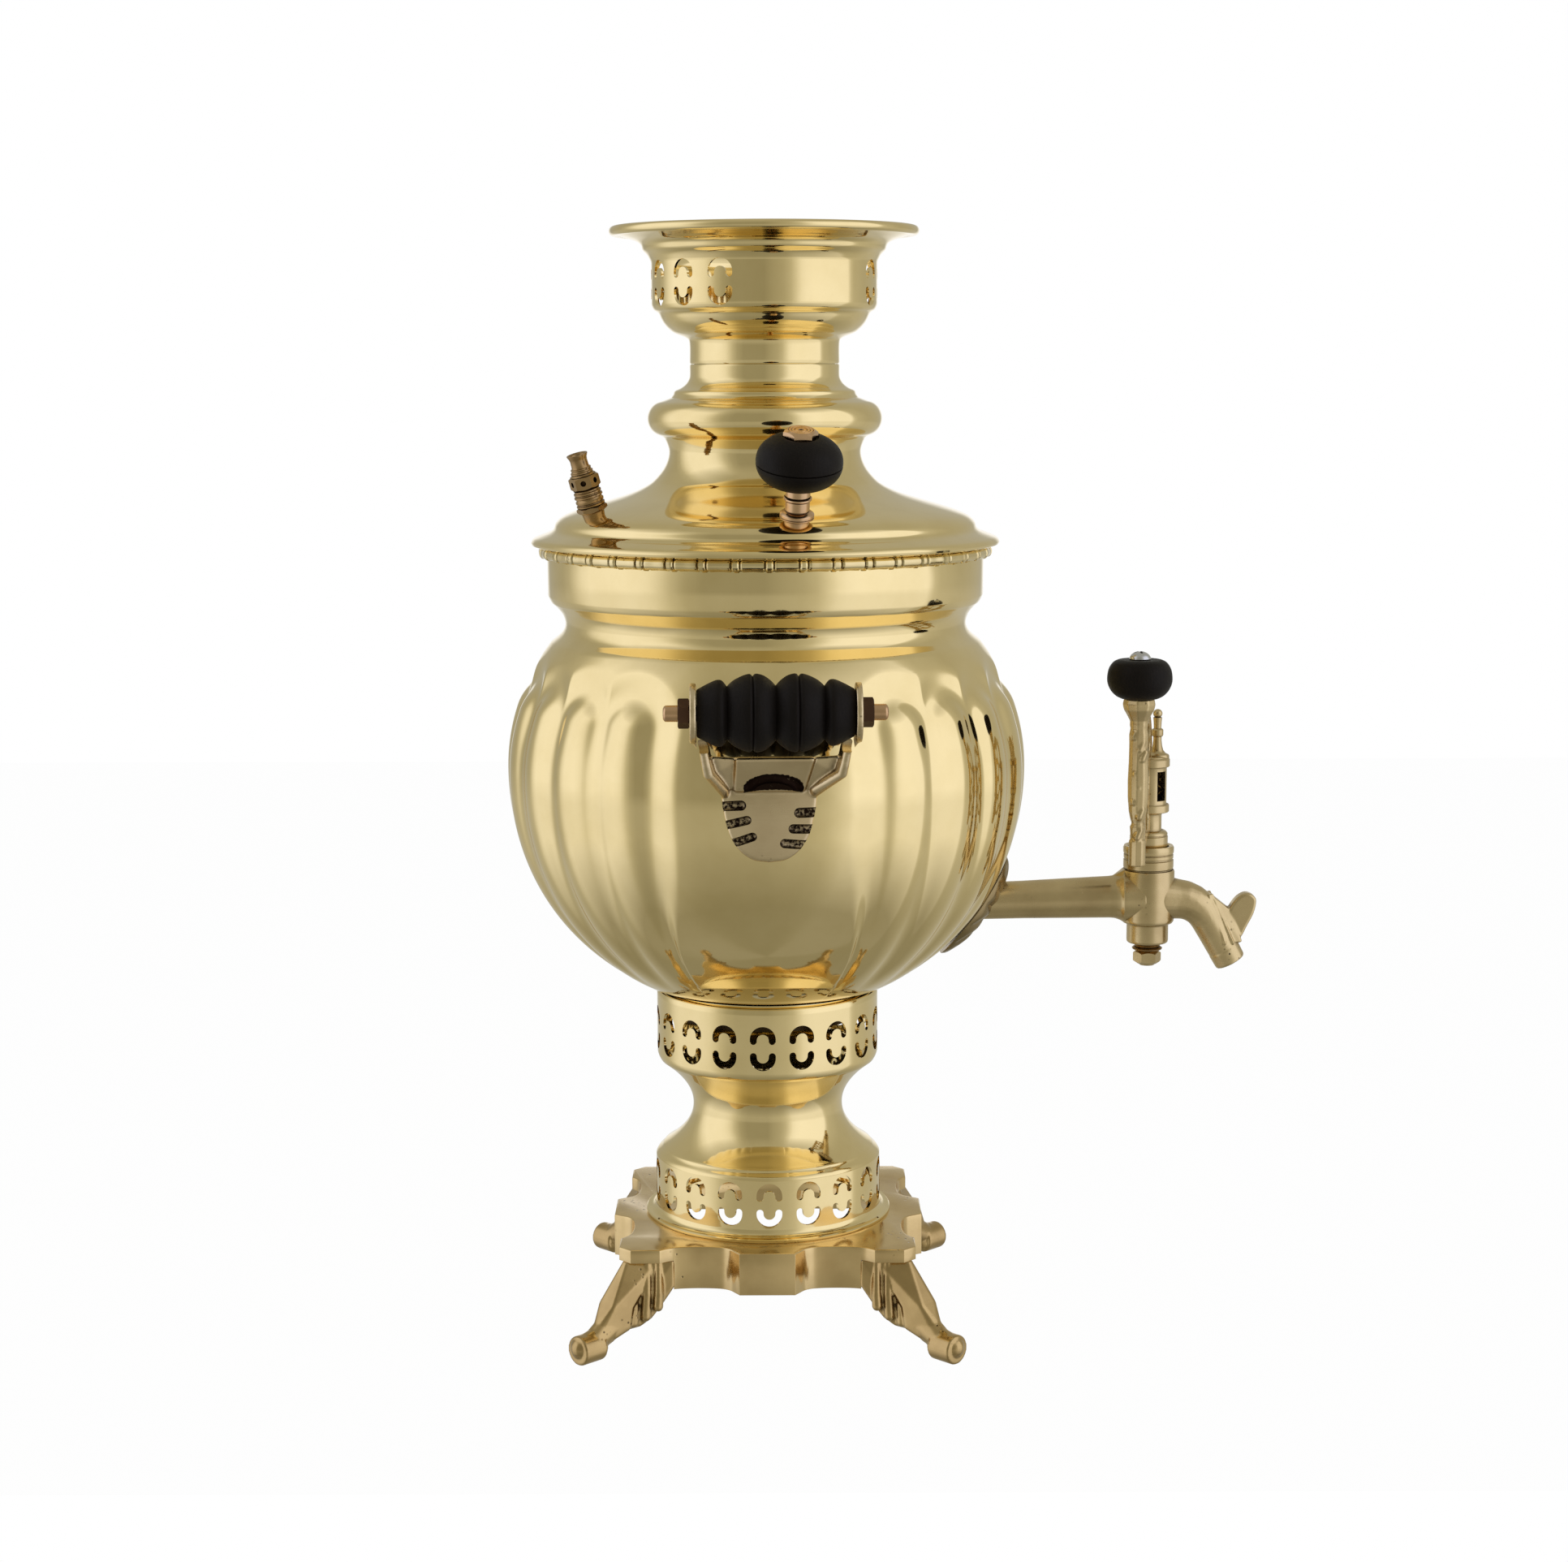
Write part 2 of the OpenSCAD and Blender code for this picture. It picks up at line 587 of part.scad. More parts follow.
// Bamboo-like ring: long segments and short raised nodes, in eight-sided section
module bead_band() {
    node_share = 0.2;
    section = 8;
    knot_rise = 0.3;
    rim_gap = 0.1;
    mid_r = (collar_r + fit_gap + band_r) / 2;
    half_w = (band_r - collar_r - fit_gap) / 2 - knot_rise;
    function knot(i) = (i % 4 == 1 || i % 4 == 2) ? knot_rise : 0;
    function turn(i) = 360 / band_count * (floor(i / 4) + [0, 0.02, node_share, node_share + 0.02][i % 4]);
    n = 4 * band_count;
    points = [for (i = [0:n - 1]) for (j = [0:section - 1])
        let (a = 360 * (j + 0.5) / section, r = mid_r + (half_w + knot(i)) * cos(a) / cos(180 / section),
             z = mouth_z - band_h / 2 - rim_gap + (band_h / 2 - knot_rise + knot(i)) * sin(a) / cos(180 / section))
            [r * cos(turn(i)), r * sin(turn(i)), z]];
    faces = [for (i = [0:n - 1]) for (j = [0:section - 1])
        let (a = i * section + j, b = i * section + (j + 1) % section,
             c = ((i + 1) % n) * section + (j + 1) % section, d = ((i + 1) % n) * section + j)
            each [[a, b, c], [a, c, d]]];
    color("goldenrod") polyhedron(points, faces);
}

// ---- fire tube and grate

module fire_tube() {
    lip = 2.4;
    outer = concat([[tube_foot_r, tube_bottom], [tube_foot_r, floor_z + 3]],
        [for (i = [1:10]) let (t = i / 10)
            [tube_foot_r + (tube_r - tube_foot_r) * smooth_step(t), floor_z + 3 + tube_taper_h * t]],
        [[tube_r, tube_top]]);
    shell = inward(outer, tube_wall);
    color("dimgray") union() {
        spun(concat(outer, reversed(shell)));
        translate([0, 0, tube_bottom]) difference() {
            cylinder(h = 1.5, r = tube_foot_r - tube_wall / 2);
            translate([0, 0, -over]) cylinder(h = 1.5 + 2 * over, r = tube_foot_r - tube_wall - lip);
        }
    }
}

module grate() {
    grate_r = tube_foot_r - tube_wall - 0.4;
    color("dimgray") translate([0, 0, tube_bottom + 1.5]) difference() {
        cylinder(h = grate_t, r = grate_r);
        for (ring = [[0, 1], [11, 6], [22, 12], [32, 18]]) for (k = [0:ring[1] - 1])
            rotate(360 / ring[1] * k) translate([ring[0], 0, -over])
                cylinder(h = grate_t + 2 * over, r = grate_hole_r);
    }
}

// ---- lid

function dome(t, h) = [lid_hollow_r + (lid_shoulder_r - lid_hollow_r) * t, mouth_z + h];
function lid_outline() =
    let (shoulder = 9.2, top = lid_hollow_h, torus_c = lid_torus_r - 6.8, torus_z = mouth_z + lid_torus_h) concat(
        [[lid_rim_r - 0.9, mouth_z + 0.1]],
        curve([[lid_rim_r, mouth_z + 1.4], [lid_rim_r - 1, mouth_z + 3], [lid_rim_r - 4, mouth_z + 4.3],
               [lid_shoulder_r + 1.6, mouth_z + 6], [lid_shoulder_r, mouth_z + shoulder],
               dome(0.91, 12.8), dome(0.8, 15), dome(0.68, 16.8), dome(0.53, 18.8), dome(0.38, 20.8),
               dome(0.265, 22.9), dome(0.13, 27.2), dome(0.06, 31), dome(0.01, 35.6),
               [lid_hollow_r, mouth_z + top], [lid_hollow_r + 0.9, mouth_z + 43], [torus_c, torus_z - 6.8]], 2),
        arc(torus_c, torus_z, 6.8, 6.8, -60, 80, 8),
        curve([[lid_torus_r - 10.2, torus_z + 8.3], [lid_torus_r - 11, torus_z + 11],
               [lid_neck_r + 3, torus_z + 12.8], [lid_neck_r + 0.6, torus_z + 15],
               [lid_neck_r, torus_z + 17.5]], 3),
        [[lid_neck_r, neck_z]]);

// Places what stands on the lid, in the direction a from the tap, with its foot at the origin
module on_lid(a) {
    rotate(a) translate([fitting_reach, 0, mouth_z + 13.6]) rotate([0, fitting_lean, 0]) children();
}
knob_directions = [knob_turn, knob_turn + 180];

module lid() {
    outer = lid_outline();
    shell = inward(outer, lid_wall);
    plug_r = collar_in_r - lift_gap;
    inside = [for (i = [0:len(shell) - 1]) if (shell[i][1] > mouth_z + 7 || shell[i][0] < lid_shoulder_r - 3) shell[i]];
    color("gold") difference() {
        spun(concat(outer, reversed(inside),
            [[plug_r - lid_wall, mouth_z + 4], [plug_r - lid_wall, mouth_z - lid_plug_h],
             [plug_r, mouth_z - lid_plug_h], [plug_r, mouth_z], [lid_rim_r - 1.6, mouth_z]]));
        for (a = knob_directions) on_lid(a) {
            cylinder(h = stem_h, r = stem_r + 0.6);
            translate([0, 0, -2 * over - lid_wall]) cylinder(h = 3 * over + lid_wall, r = stud_r + fit_gap);
        }
        on_lid(vent_turn) {
            cylinder(h = vent_base_h, r = vent_hex_r + 0.5);
            translate([0, 0, -2 * over - lid_wall]) cylinder(h = 3 * over + lid_wall, r = vent_pin_r + fit_gap);
        }
    }
}

module lid_stem() {
    ring = 2.4;
    color("peru") {
        spun([[0, -6], [stud_r, -6], [stud_r, 0], [stem_r, 0], [stem_r, ring], [stem_ring_r - 0.8, ring],
              [stem_ring_r, ring + 1], [stem_ring_r, ring + 3.4], [stem_ring_r - 1.2, ring + 4.6],
              [stem_r, ring + 4.6], [stem_r, stem_h - 3.4], [stem_r + 0.8, stem_h - 3.2],
              [stem_r + 0.8, stem_h - 2], [stem_r, stem_h - 1.8], [stem_r, stem_h], [stud_r, stem_h],
              [stud_r, stem_h + knob_h + knob_nut_t], [0, stem_h + knob_h + knob_nut_t]]);
    }
}
module lid_stem_front() { on_lid(knob_directions[0]) lid_stem(); }
module lid_stem_back() { on_lid(knob_directions[1]) lid_stem(); }

// A flattened ball with a level top and bottom, and a bore for its stud
module wooden_knob(r, h, bore_r, line) {
    flat_r = 0.36 * r;
    line_r = 0.45;
    a = acos(flat_r / r);
    difference() {
        spun(concat([[bore_r, -h / 2]], arc(0, 0, r, h / 2 / sin(a), -a, a, 20), [[bore_r, h / 2]]));
        if (line) translate([0, 0, -0.22 * h]) rotate_extrude() translate([r * 0.965, 0]) circle(r = line_r);
    }
}
module lid_knob() {
    color([0.1, 0.09, 0.09]) translate([0, 0, stem_h + knob_h / 2])
        wooden_knob(knob_r, knob_h, stud_r + fit_gap, true);
}
module lid_knob_front() { on_lid(knob_directions[0]) lid_knob(); }
module lid_knob_back() { on_lid(knob_directions[1]) lid_knob(); }

module drilled_nut(af, t, bore_r) {
    difference() {
        hexagon(af, t);
        translate([0, 0, -over]) cylinder(h = t + 2 * over, r = bore_r);
    }
}
module lid_knob_nut() {
    color("goldenrod") translate([0, 0, stem_h + knob_h]) drilled_nut(knob_nut_af, knob_nut_t, stud_r + fit_gap);
}
module lid_knob_nut_front() { on_lid(knob_directions[0]) lid_knob_nut(); }
module lid_knob_nut_back() { on_lid(knob_directions[1]) lid_knob_nut(); }
module lid_stem_nuts() {
    under_t = 3;
    under_af = 9;
    under_gap = 1.5; // clears the dome's slope
    color("goldenrod") for (a = knob_directions) on_lid(a)
        translate([0, 0, -lid_wall - under_gap - under_t]) drilled_nut(under_af, under_t, stud_r + fit_gap);
}

// ---- steam vent

vent_stub_h = 9;
vent_hex_low = 4;
vent_hex_high = 10.5;
vent_hole_h = (vent_hex_low + vent_hex_high) / 2;

module vent_base() {
    stub_h = vent_stub_h;
    hex_h = 5;
    bore_r = 1.6;
    color("saddlebrown") on_lid(vent_turn) difference() {
        union() {
            cylinder(h = hex_h, r = vent_hex_r, $fn = 6);
            spun([[0, -5], [vent_pin_r, -5], [vent_pin_r, 0], [vent_hex_r - 1, 0],
                  [vent_hex_r - 1, hex_h], [vent_hex_r - 0.7, hex_h + 0.6], [vent_hex_r - 1.2, hex_h + 1.3],
                  [vent_hex_r - 0.7, hex_h + 2.2], [vent_hex_r - 1.2, vent_base_h],
                  [vent_pin_r, vent_base_h], [vent_pin_r, vent_base_h + stub_h], [0, vent_base_h + stub_h]]);
        }
        translate([0, 0, -5 - over]) cylinder(h = vent_base_h + 5 + over + stub_h - 1, r = bore_r);
        translate([0, 0, vent_base_h + vent_hole_h]) rotate([90, 0, 0])
            cylinder(h = 2 * vent_hex_r, r = 0.9, center = true);
    }
}

module vent_cap() {
    hex_low = vent_hex_low;
    hex_high = vent_hex_high;
    mouth = 4.2;
    neck = 3.3;
    color("peru") on_lid(vent_turn) translate([0, 0, vent_base_h]) difference() {
        union() {
            translate([0, 0, hex_low]) cylinder(h = hex_high - hex_low, r = vent_hex_r - 0.1, $fn = 6);
            spun(concat([[0, 0], [vent_hex_r - 0.9, 0], [vent_hex_r - 0.7, 0.9], [vent_hex_r - 1.2, 1.5],
                  [vent_hex_r - 0.7, 2.4], [vent_hex_r - 1.3, hex_low], [vent_hex_r - 1.5, hex_high],
                  [4.4, hex_high + 1.6], [4.2, hex_high + 3], [4.8, hex_high + 3.4], [4.2, hex_high + 3.8],
                  [3.9, hex_high + 5.2], [4.3, hex_high + 5.6], [3.7, hex_high + 6]],
                  curve([[neck, hex_high + 7], [neck, vent_cap_h - 2], [mouth, vent_cap_h]], 3),
                  [[0, vent_cap_h]]));
        }
        translate([0, 0, -over]) cylinder(h = vent_stub_h + 0.3 + over, r = vent_pin_r + plug_clear);
        translate([0, 0, hex_high + 1.5]) cylinder(h = vent_cap_h, r = 2.4);
        for (k = [0:2]) rotate(60 * k + 30) translate([0, 0, vent_hole_h])
            rotate([0, 90, 0]) cylinder(h = 3 * vent_hex_r, r = 1, center = true);
    }
}

// ---- crown

function crown_outline() =
    let (cup_z = neck_z + cup_low, cup_end = neck_z + cup_high, rim_z = neck_z + crown_h - bead_r) concat(
        [[lid_neck_r, neck_z]],
        curve([[lid_neck_r, cup_z - 14.6], [lid_neck_r + 1, cup_z - 12.9], [cup_r - 9.6, cup_z - 10.9],
               [cup_r - 6.9, cup_z - 8.9], [cup_r - 5, cup_z - 6.6], [cup_r - 3.9, cup_z - 4.6],
               [cup_r - 2.9, cup_z - 2.6], [cup_r - 0.8, cup_z - 0.9], [cup_r, cup_z + 1]], 3),
        [[cup_r, cup_end - 1.5]],
        curve([[cup_r + 0.6, cup_end + 0.6], [cup_r + 2.6, cup_end + 3.2], [cup_r + 3.9, cup_end + 5.4],
               [cup_r + 5.4, cup_end + 7.2], [cup_r + 9, cup_end + 8.6],
               [crown_rim_r - 3.4, rim_z - 1.7]], 2));

module crown() {
    rim_z = neck_z + crown_h - bead_r;
    outer = crown_outline();
    shell = inward(outer, lid_wall);
    color("gold") difference() {
        union() {
            spun(concat(outer, [[crown_rim_r - 2, rim_z - 1], [crown_rim_r - 2, rim_z + 1]], reversed(shell)));
            rotate_extrude() translate([crown_rim_r - bead_r, rim_z]) circle(r = bead_r);
        }
        for (group = [0, 1]) for (k = [0:crown_pierce_count - 1])
            rotate(crown_pierce_turn + 180 * group + crown_pierce_step * (k - (crown_pierce_count - 1) / 2))
                translate([0, 0, neck_z + cup_low + 9.2]) piercing(cup_r);
    }
}

// ---- handles

// Places a handle: its grip's middle line runs along X, at grip_reach in front of the axis
module at_handle(back) { rotate(handle_turn + 180 * back) children(); }

function lobe(x0, r0, x1, r1, h, lean, n) = [for (i = [0:n]) let (t = i / n)
    [x0 + (x1 - x0) * t, r0 + (r1 - r0) * t + h * sin(180 * pow(t, lean))]];
module handle_grip() {
    half = grip_l / 2;
    valley = grip_r - 4.6;
    split = 0.615 * half;
    profile = concat(lobe(0, valley, split, valley, 4.6, 1, 10), lobe(split, valley, half, grip_r - 6.1, 3.1, 0.75, 8));
    both = concat(reversed([for (p = profile) [-p[0], p[1]]]), [for (i = [1:len(profile) - 1]) profile[i]]);
    color([0.1, 0.1, 0.1]) translate([0, -grip_reach, grip_z]) rotate([0, 90, 0])
        spun(concat([[rod_r + fit_gap, -half]], [for (p = both) [p[1], p[0]]], [[rod_r + fit_gap, half]]));
}
module handle_grip_front() { at_handle(0) handle_grip(); }
module handle_grip_back() { at_handle(1) handle_grip(); }

module handle_rod() {
    tip = 1.2;
    color("rosybrown") translate([-rod_l / 2, -grip_reach, grip_z]) rotate([0, 90, 0])
        spun([[0, 0], [rod_r - tip, 0], [rod_r, tip], [rod_r, rod_l - tip], [rod_r - tip, rod_l], [0, rod_l]]);
}
module handle_rod_front() { at_handle(0) handle_rod(); }
module handle_rod_back() { at_handle(1) handle_rod(); }

module handle_nuts() {
    color([0.3, 0.2, 0.15]) for (s = [0, 1]) mirror([s, 0, 0])
        translate([grip_l / 2 + fit_gap + ear_t, -grip_reach, grip_z]) rotate([0, 90, 0])
            drilled_nut(rod_nut_af, rod_nut_t, rod_r + fit_gap);
}
module handle_nuts_front() { at_handle(0) handle_nuts(); }
module handle_nuts_back() { at_handle(1) handle_nuts(); }

// The tongue-shaped shield, as a flat outline in X and Z
shield_top = grip_z - 29.5;
function shield_half_outline() = curve([
    [shield_half, shield_top], [shield_half - 0.7, shield_top - 0.18 * shield_h],
    [shield_half - 1.3, shield_top - 0.46 * shield_h], [shield_half - 4, shield_top - 0.76 * shield_h],
    [shield_half - 10, shield_top - 0.95 * shield_h], [0, shield_top - shield_h]], 4);
function shield_outline() = let (h = shield_half_outline())
    concat(h, reversed([for (p = h) if (p[0] > 0.01) [-p[0], p[1]]]));

module bar(x0, x1, y, z, t) { translate([x0, y - t / 2, z - t / 2]) cube([x1 - x0, t, t]); }
module handle_bracket() {
    ear_x = grip_l / 2 + fit_gap;
    low_z = shield_top - shield_h - over;
    arm_top = [grip_z - ear_r + 3, grip_z - 24.5];
    color("burlywood") difference() {
        union() {
            intersection() {
                translate([0, -belly_r + 14, 0]) rotate([90, 0, 0]) linear_extrude(40) polygon(shield_outline());
                spun_solid([for (p = belly_points(low_z, shield_top + over, 12)) p + [fit_gap + shield_t, 0]]);
            }
            for (s = [0, 1]) mirror([s, 0, 0]) {
                translate([ear_x, -grip_reach, grip_z]) along_x(ear_t, ear_r, ear_r);
                hull() {
                    bar(ear_x, ear_x + ear_t, 3 - grip_reach, arm_top[0], 9);
                    bar(ear_x - 6, ear_x - 1, 10 - grip_reach, arm_top[1], 7);
                }
                hull() {
                    bar(ear_x - 6, ear_x - 1, 10 - grip_reach, arm_top[1], 7);
                    bar(shield_half - 6, shield_half - 0.4, -belly_r - 1.6, shield_top - 1, 4.4);
                }
            }
            hull() {
                bar(10 - ear_x, ear_x - 10, 9 - grip_reach, grip_z - 20.6, 3);
                bar(-shield_half + 3, shield_half - 3, -belly_r - 1.4, shield_top - 1, 3.6);
            }
        }
        spun_solid([for (p = belly_points(low_z - over, grip_z + 20, 16)) p + [fit_gap, 0]]);
        translate([-rod_l / 2, -grip_reach, grip_z]) along_x(rod_l, rod_r + fit_gap, rod_r + fit_gap);
        rotate([0, 0, 0]) translate([0, -grip_reach, grip_z])
            along_x_both(grip_l / 2 + 0.5 * fit_gap, grip_r + 1);
        for (s = [0, 1]) mirror([s, 0, 0]) for (k = [0:2])
            translate([shield_half - 5.4 - 0.9 * k, -belly_r - shield_t - fit_gap - over, shield_top - 4.5 - 7.4 * k])
                rotate([0, -8 * k, 0]) translate([0, 0, -1.7]) cube([12, 2.6 + over, 3.4]);
    }
}
// A cylinder along X, centred, of half length l
module along_x_both(l, r) { rotate([0, 90, 0]) cylinder(h = 2 * l, r = r, center = true); }
module handle_bracket_front() { at_handle(0) handle_bracket(); }
module handle_bracket_back() { at_handle(1) handle_bracket(); }

// ---- tap

// The belly as a plain turned solid, grown by g
module plain_belly(g) {
    spun_solid([for (p = belly_points(pedestal_top + 2, belly_z + 20, 24)) p + [g, 0]]);
}
bend_x = plug_reach + housing_r + 1.2;
// The spout's middle line: runs out along X, turns down, and ends straight
module along_spout(r_bend, r_mouth, extra) {
    lap = 1;
    translate([plug_reach, 0, tap_z]) along_x(bend_x - plug_reach + lap, r_bend - 0.2, r_bend - 0.2);
    translate([bend_x, 0, tap_z - spout_bend_r]) rotate([90, 0, 0]) rotate(90 - spout_turn) {
        rotate_extrude(angle = spout_turn) translate([spout_bend_r, 0]) circle(r = r_bend);
        translate([spout_bend_r, lap, 0]) rotate([90, 0, 0])
            cylinder(h = spout_l + lap + extra, r1 = r_bend - 0.2, r2 = r_mouth);
    }
}
// The lug's outline about the spot where the spout starts to bend, with the web behind it
function lug_outline() = curve([
    [12.6, 1.2], [17.8, -1.8], [21.7, -5.3], [23.4, -3.2], [25.9, -0.1], [28.8, 1.6], [32.0, 1.2], [34.4, -2.2],
    [33.2, -7.4], [30.4, -13.4], [27.4, -18.2], [22.8, -19.6], [16.4, -10.4]], 3);

module tap_body() {
    shank_end = shank_nut_x - 3;
    color("tan") difference() {
        union() {
            difference() {
                translate([belly_r / 2, 0, tap_z])
                    along_x(plug_reach - belly_r / 2, tap_tube_r - 0.3, tap_tube_end_r);
                plain_belly(fit_gap);
            }
            translate([shank_end, 0, tap_z]) along_x(belly_r - shank_end, shank_r, shank_r);
            translate([plug_reach, 0, 0]) {
                translate([0, 0, tap_z - housing_down]) cylinder(h = housing_down + housing_up, r = housing_r);
                translate([0, 0, ring_z]) cylinder(h = cup_ring_h, r = cup_ring_r);
                translate([0, 0, collar_bottom_z]) cylinder(h = low_collar_h + over, r = low_collar_r);
            }
            along_spout(spout_r, spout_mouth_r, 0);
            translate([bend_x, lug_t / 2, tap_z]) rotate([90, 0, 0]) linear_extrude(lug_t) polygon(lug_outline());
        }
        translate([plug_reach, 0, 0]) {
            translate([0, 0, collar_bottom_z - over])
                cylinder(h = shoulder_z - collar_bottom_z + 2 * over, r = plug_r + plug_clear);
            translate([0, 0, shoulder_z]) cylinder(h = cup_ring_h, r = shoulder_r + 0.5);
        }
        translate([shank_end - over, 0, tap_z]) along_x(plug_reach - shank_end, flow_r, flow_r);
        along_spout(flow_r, flow_r, over);
    }
}

module tap_escutcheon() {
    slope = 38;
    color("tan") difference() {
        intersection() {
            spun_solid([for (p = belly_points(pedestal_top + 6, belly_z, 20)) p + [fit_gap + scutcheon_t, 0]]);
            translate([belly(tap_z), 0, tap_z]) rotate([0, 90 + slope, 0])
                linear_extrude(24, center = true)
                    polygon(arc(0, 0, scutcheon_half_l, scutcheon_half_w, 0, 345, 23));
            // the dome that thins the leaf towards its edge
            translate([belly(tap_z) * 0.61, 0, tap_z + 24]) sphere(r = belly(tap_z) * 0.565);
        }
        plain_belly(fit_gap);
        translate([0, 0, tap_z]) along_x(plug_reach, tap_tube_end_r, tap_tube_end_r);
    }
}

shank_nut_x = belly(tap_z - shank_nut_r) - cavity_drop - shank_nut_t - 3;
module tap_gasket() {
    face_x = shank_nut_x + shank_nut_t;
    color("dimgray") difference() {
        intersection() {
            translate([face_x, 0, tap_z]) along_x(belly_r - face_x, shank_nut_r - 0.6, shank_nut_r - 0.6);
            cavity(0.15);
        }
        translate([face_x - over, 0, tap_z]) along_x(belly_r, shank_r + fit_gap, shank_r + fit_gap);
    }
}
module tap_shank_nut() {
    color("goldenrod") translate([shank_nut_x, 0, tap_z]) rotate([0, 90, 0])
        drilled_nut(2 * shank_nut_r * cos(30), shank_nut_t, shank_r + fit_gap);
}

// ---- plug and key

thread_r = 3.4;
washer_h = 3.5;
washer_r = plug_r + 1.1;
plug_nut_h = 6;
lantern_z = shoulder_z + shoulder_h + neck_h;
lantern_top = lantern_z + lantern_h + 2 * lantern_collar_h;
finial_z = lantern_top + 18.5;

module tap_plug() {
    low = collar_bottom_z + 0.6;
    color("darkgoldenrod") translate([plug_reach, 0, 0]) difference() {
        spun(concat(
            [[0, collar_bottom_z - washer_h - plug_nut_h - 0.6], [thread_r, collar_bottom_z - washer_h - plug_nut_h - 0.6],
             [thread_r, low], [plug_r, low], [plug_r, shoulder_z], [shoulder_r, shoulder_z],
             [shoulder_r, shoulder_z + shoulder_h - 1], [shoulder_r - 1, shoulder_z + shoulder_h],
             [neck_r, shoulder_z + shoulder_h], [neck_r, lantern_z],
             [lantern_collar_r, lantern_z], [lantern_collar_r, lantern_z + lantern_collar_h],
             [lantern_r, lantern_z + lantern_collar_h], [lantern_r, lantern_top - lantern_collar_h],
             [lantern_collar_r, lantern_top - lantern_collar_h], [lantern_collar_r, lantern_top - 0.8]],
            curve([[lantern_collar_r - 1.4, lantern_top], [4.4, lantern_top + 1.4], [2.2, lantern_top + 4.4],
                   [2.2, lantern_top + 7.6]], 3),
            [[3.1, lantern_top + 8], [3.1, lantern_top + 9.6], [2.2, lantern_top + 10.2], [1.7, finial_z - 2]],
            arc(0, finial_z, 1.8, 1.8, -60, 90, 8)));
        translate([0, 0, lantern_z + 1.5]) cylinder(h = lantern_h + 2 * lantern_collar_h - 3, r = lantern_r - 1.6);
        for (k = [0, 90]) rotate(k + 20)
            translate([-lantern_r - over, -2.4, lantern_z + lantern_collar_h + 1.2])
                cube([2 * lantern_r + 2 * over, 4.8, lantern_h - 2.4]);
        translate([0, 0, tap_z]) rotate([90, 0, 0]) cylinder(h = 3 * plug_r, r = flow_r - 1, center = true);
    }
}

module on_key() { translate([plug_reach, 0, shoulder_z]) rotate(-90 - key_turn) children(); }

// The openwork's outline and holes: U outwards from the plug's axis, V up from the shoulder's foot
function branch_outline() = let (outer = stalk_reach - stalk_r + 0.8, top = key_knob_low - 9, clear = 0.05) concat(
    [[neck_r + clear, shoulder_h + 0.6], [neck_r + clear, shoulder_h + neck_h - 0.6],
     [lantern_collar_r + 0.8, shoulder_h + neck_h + 1], [lantern_collar_r + 0.8, lantern_top - shoulder_z - 0.6],
     [4.6, lantern_top - shoulder_z + 4.4], [3, lantern_top - shoulder_z + 5.6]],
    curve([[2.6, lantern_top - shoulder_z + 7], [7, top - 5], [15, top + 1], [25, top + 3], [outer, top - 3]], 3),
    curve([[outer, 6], [outer - 1, 1.5], [outer - 5, 6.6], [outer - 14, 5.4], [12, 9.6]], 3));
branch_holes = [[18, 50, 7.6], [31, 52, 4.2], [18, 33, 6.6], [31, 39, 4.8], [30, 26, 5], [17.5, 17.5, 5.2], [29.5, 13, 4.4]];

module key_branch() {
    block_h = 12;
    color("tan") on_key() {
        translate([0, branch_t / 2, 0]) rotate([90, 0, 0]) linear_extrude(branch_t) difference() {
            polygon(branch_outline());
            for (h = branch_holes) translate([h[0], h[1]]) circle(r = h[2]);
        }
        difference() {
            translate([stalk_reach, 0, 0]) {
                translate([0, 0, 1.2]) cylinder(h = block_h, r = stalk_r - 0.2, $fn = 6);
                spun([[0, block_h], [stalk_r - 0.6, block_h], [stalk_r - 0.4, block_h + 6], [stalk_r + 0.3, 27],
                      [stalk_r + 0.2, 38], [stalk_r, key_knob_low - 10], [stalk_r + 0.2, key_knob_low - 8],
                      [stalk_r + 2.9, key_knob_low - 3.4], [stalk_r + 3, key_knob_low], [0, key_knob_low]]);
            }
            translate([stalk_reach, 0, key_knob_low - 7]) cylinder(h = 7 + over, r = 1.9);
        }
    }
}
module key_knob() {
    color([0.12, 0.09, 0.07]) on_key() translate([stalk_reach, 0, key_knob_low + key_knob_h / 2])
        wooden_knob(key_knob_r, key_knob_h, 2, false);
}
module key_knob_screw() {
    head_r = 4.5;
    head_h = 3.4;
    color("silver") on_key() translate([stalk_reach, 0, key_knob_low + key_knob_h]) difference() {
        spun(concat([[0, -key_knob_h - 5], [1.8, -key_knob_h - 5], [1.8, 0], [head_r, 0]],
                    arc(0, 0, head_r, head_h, 12, 90, 6)));
        translate([-head_r, -0.6, head_h - 1.3]) cube([2 * head_r, 1.2, 2]);
    }
}
module plug_washer() {
    color("dimgray") translate([plug_reach, 0, collar_bottom_z - washer_h])
        spun([[thread_r + fit_gap, 0], [5.6, 0], [5.6, washer_h - 1.2], [washer_r, washer_h - 0.7],
              [washer_r, washer_h], [thread_r + fit_gap, washer_h]]);
}
module plug_nut() {
    color("darkgoldenrod") translate([plug_reach, 0, collar_bottom_z - washer_h - plug_nut_h]) intersection() {
        drilled_nut(10.4, plug_nut_h, thread_r + fit_gap);
        cylinder(h = plug_nut_h, r1 = 4.6, r2 = 9.5);
    }
}

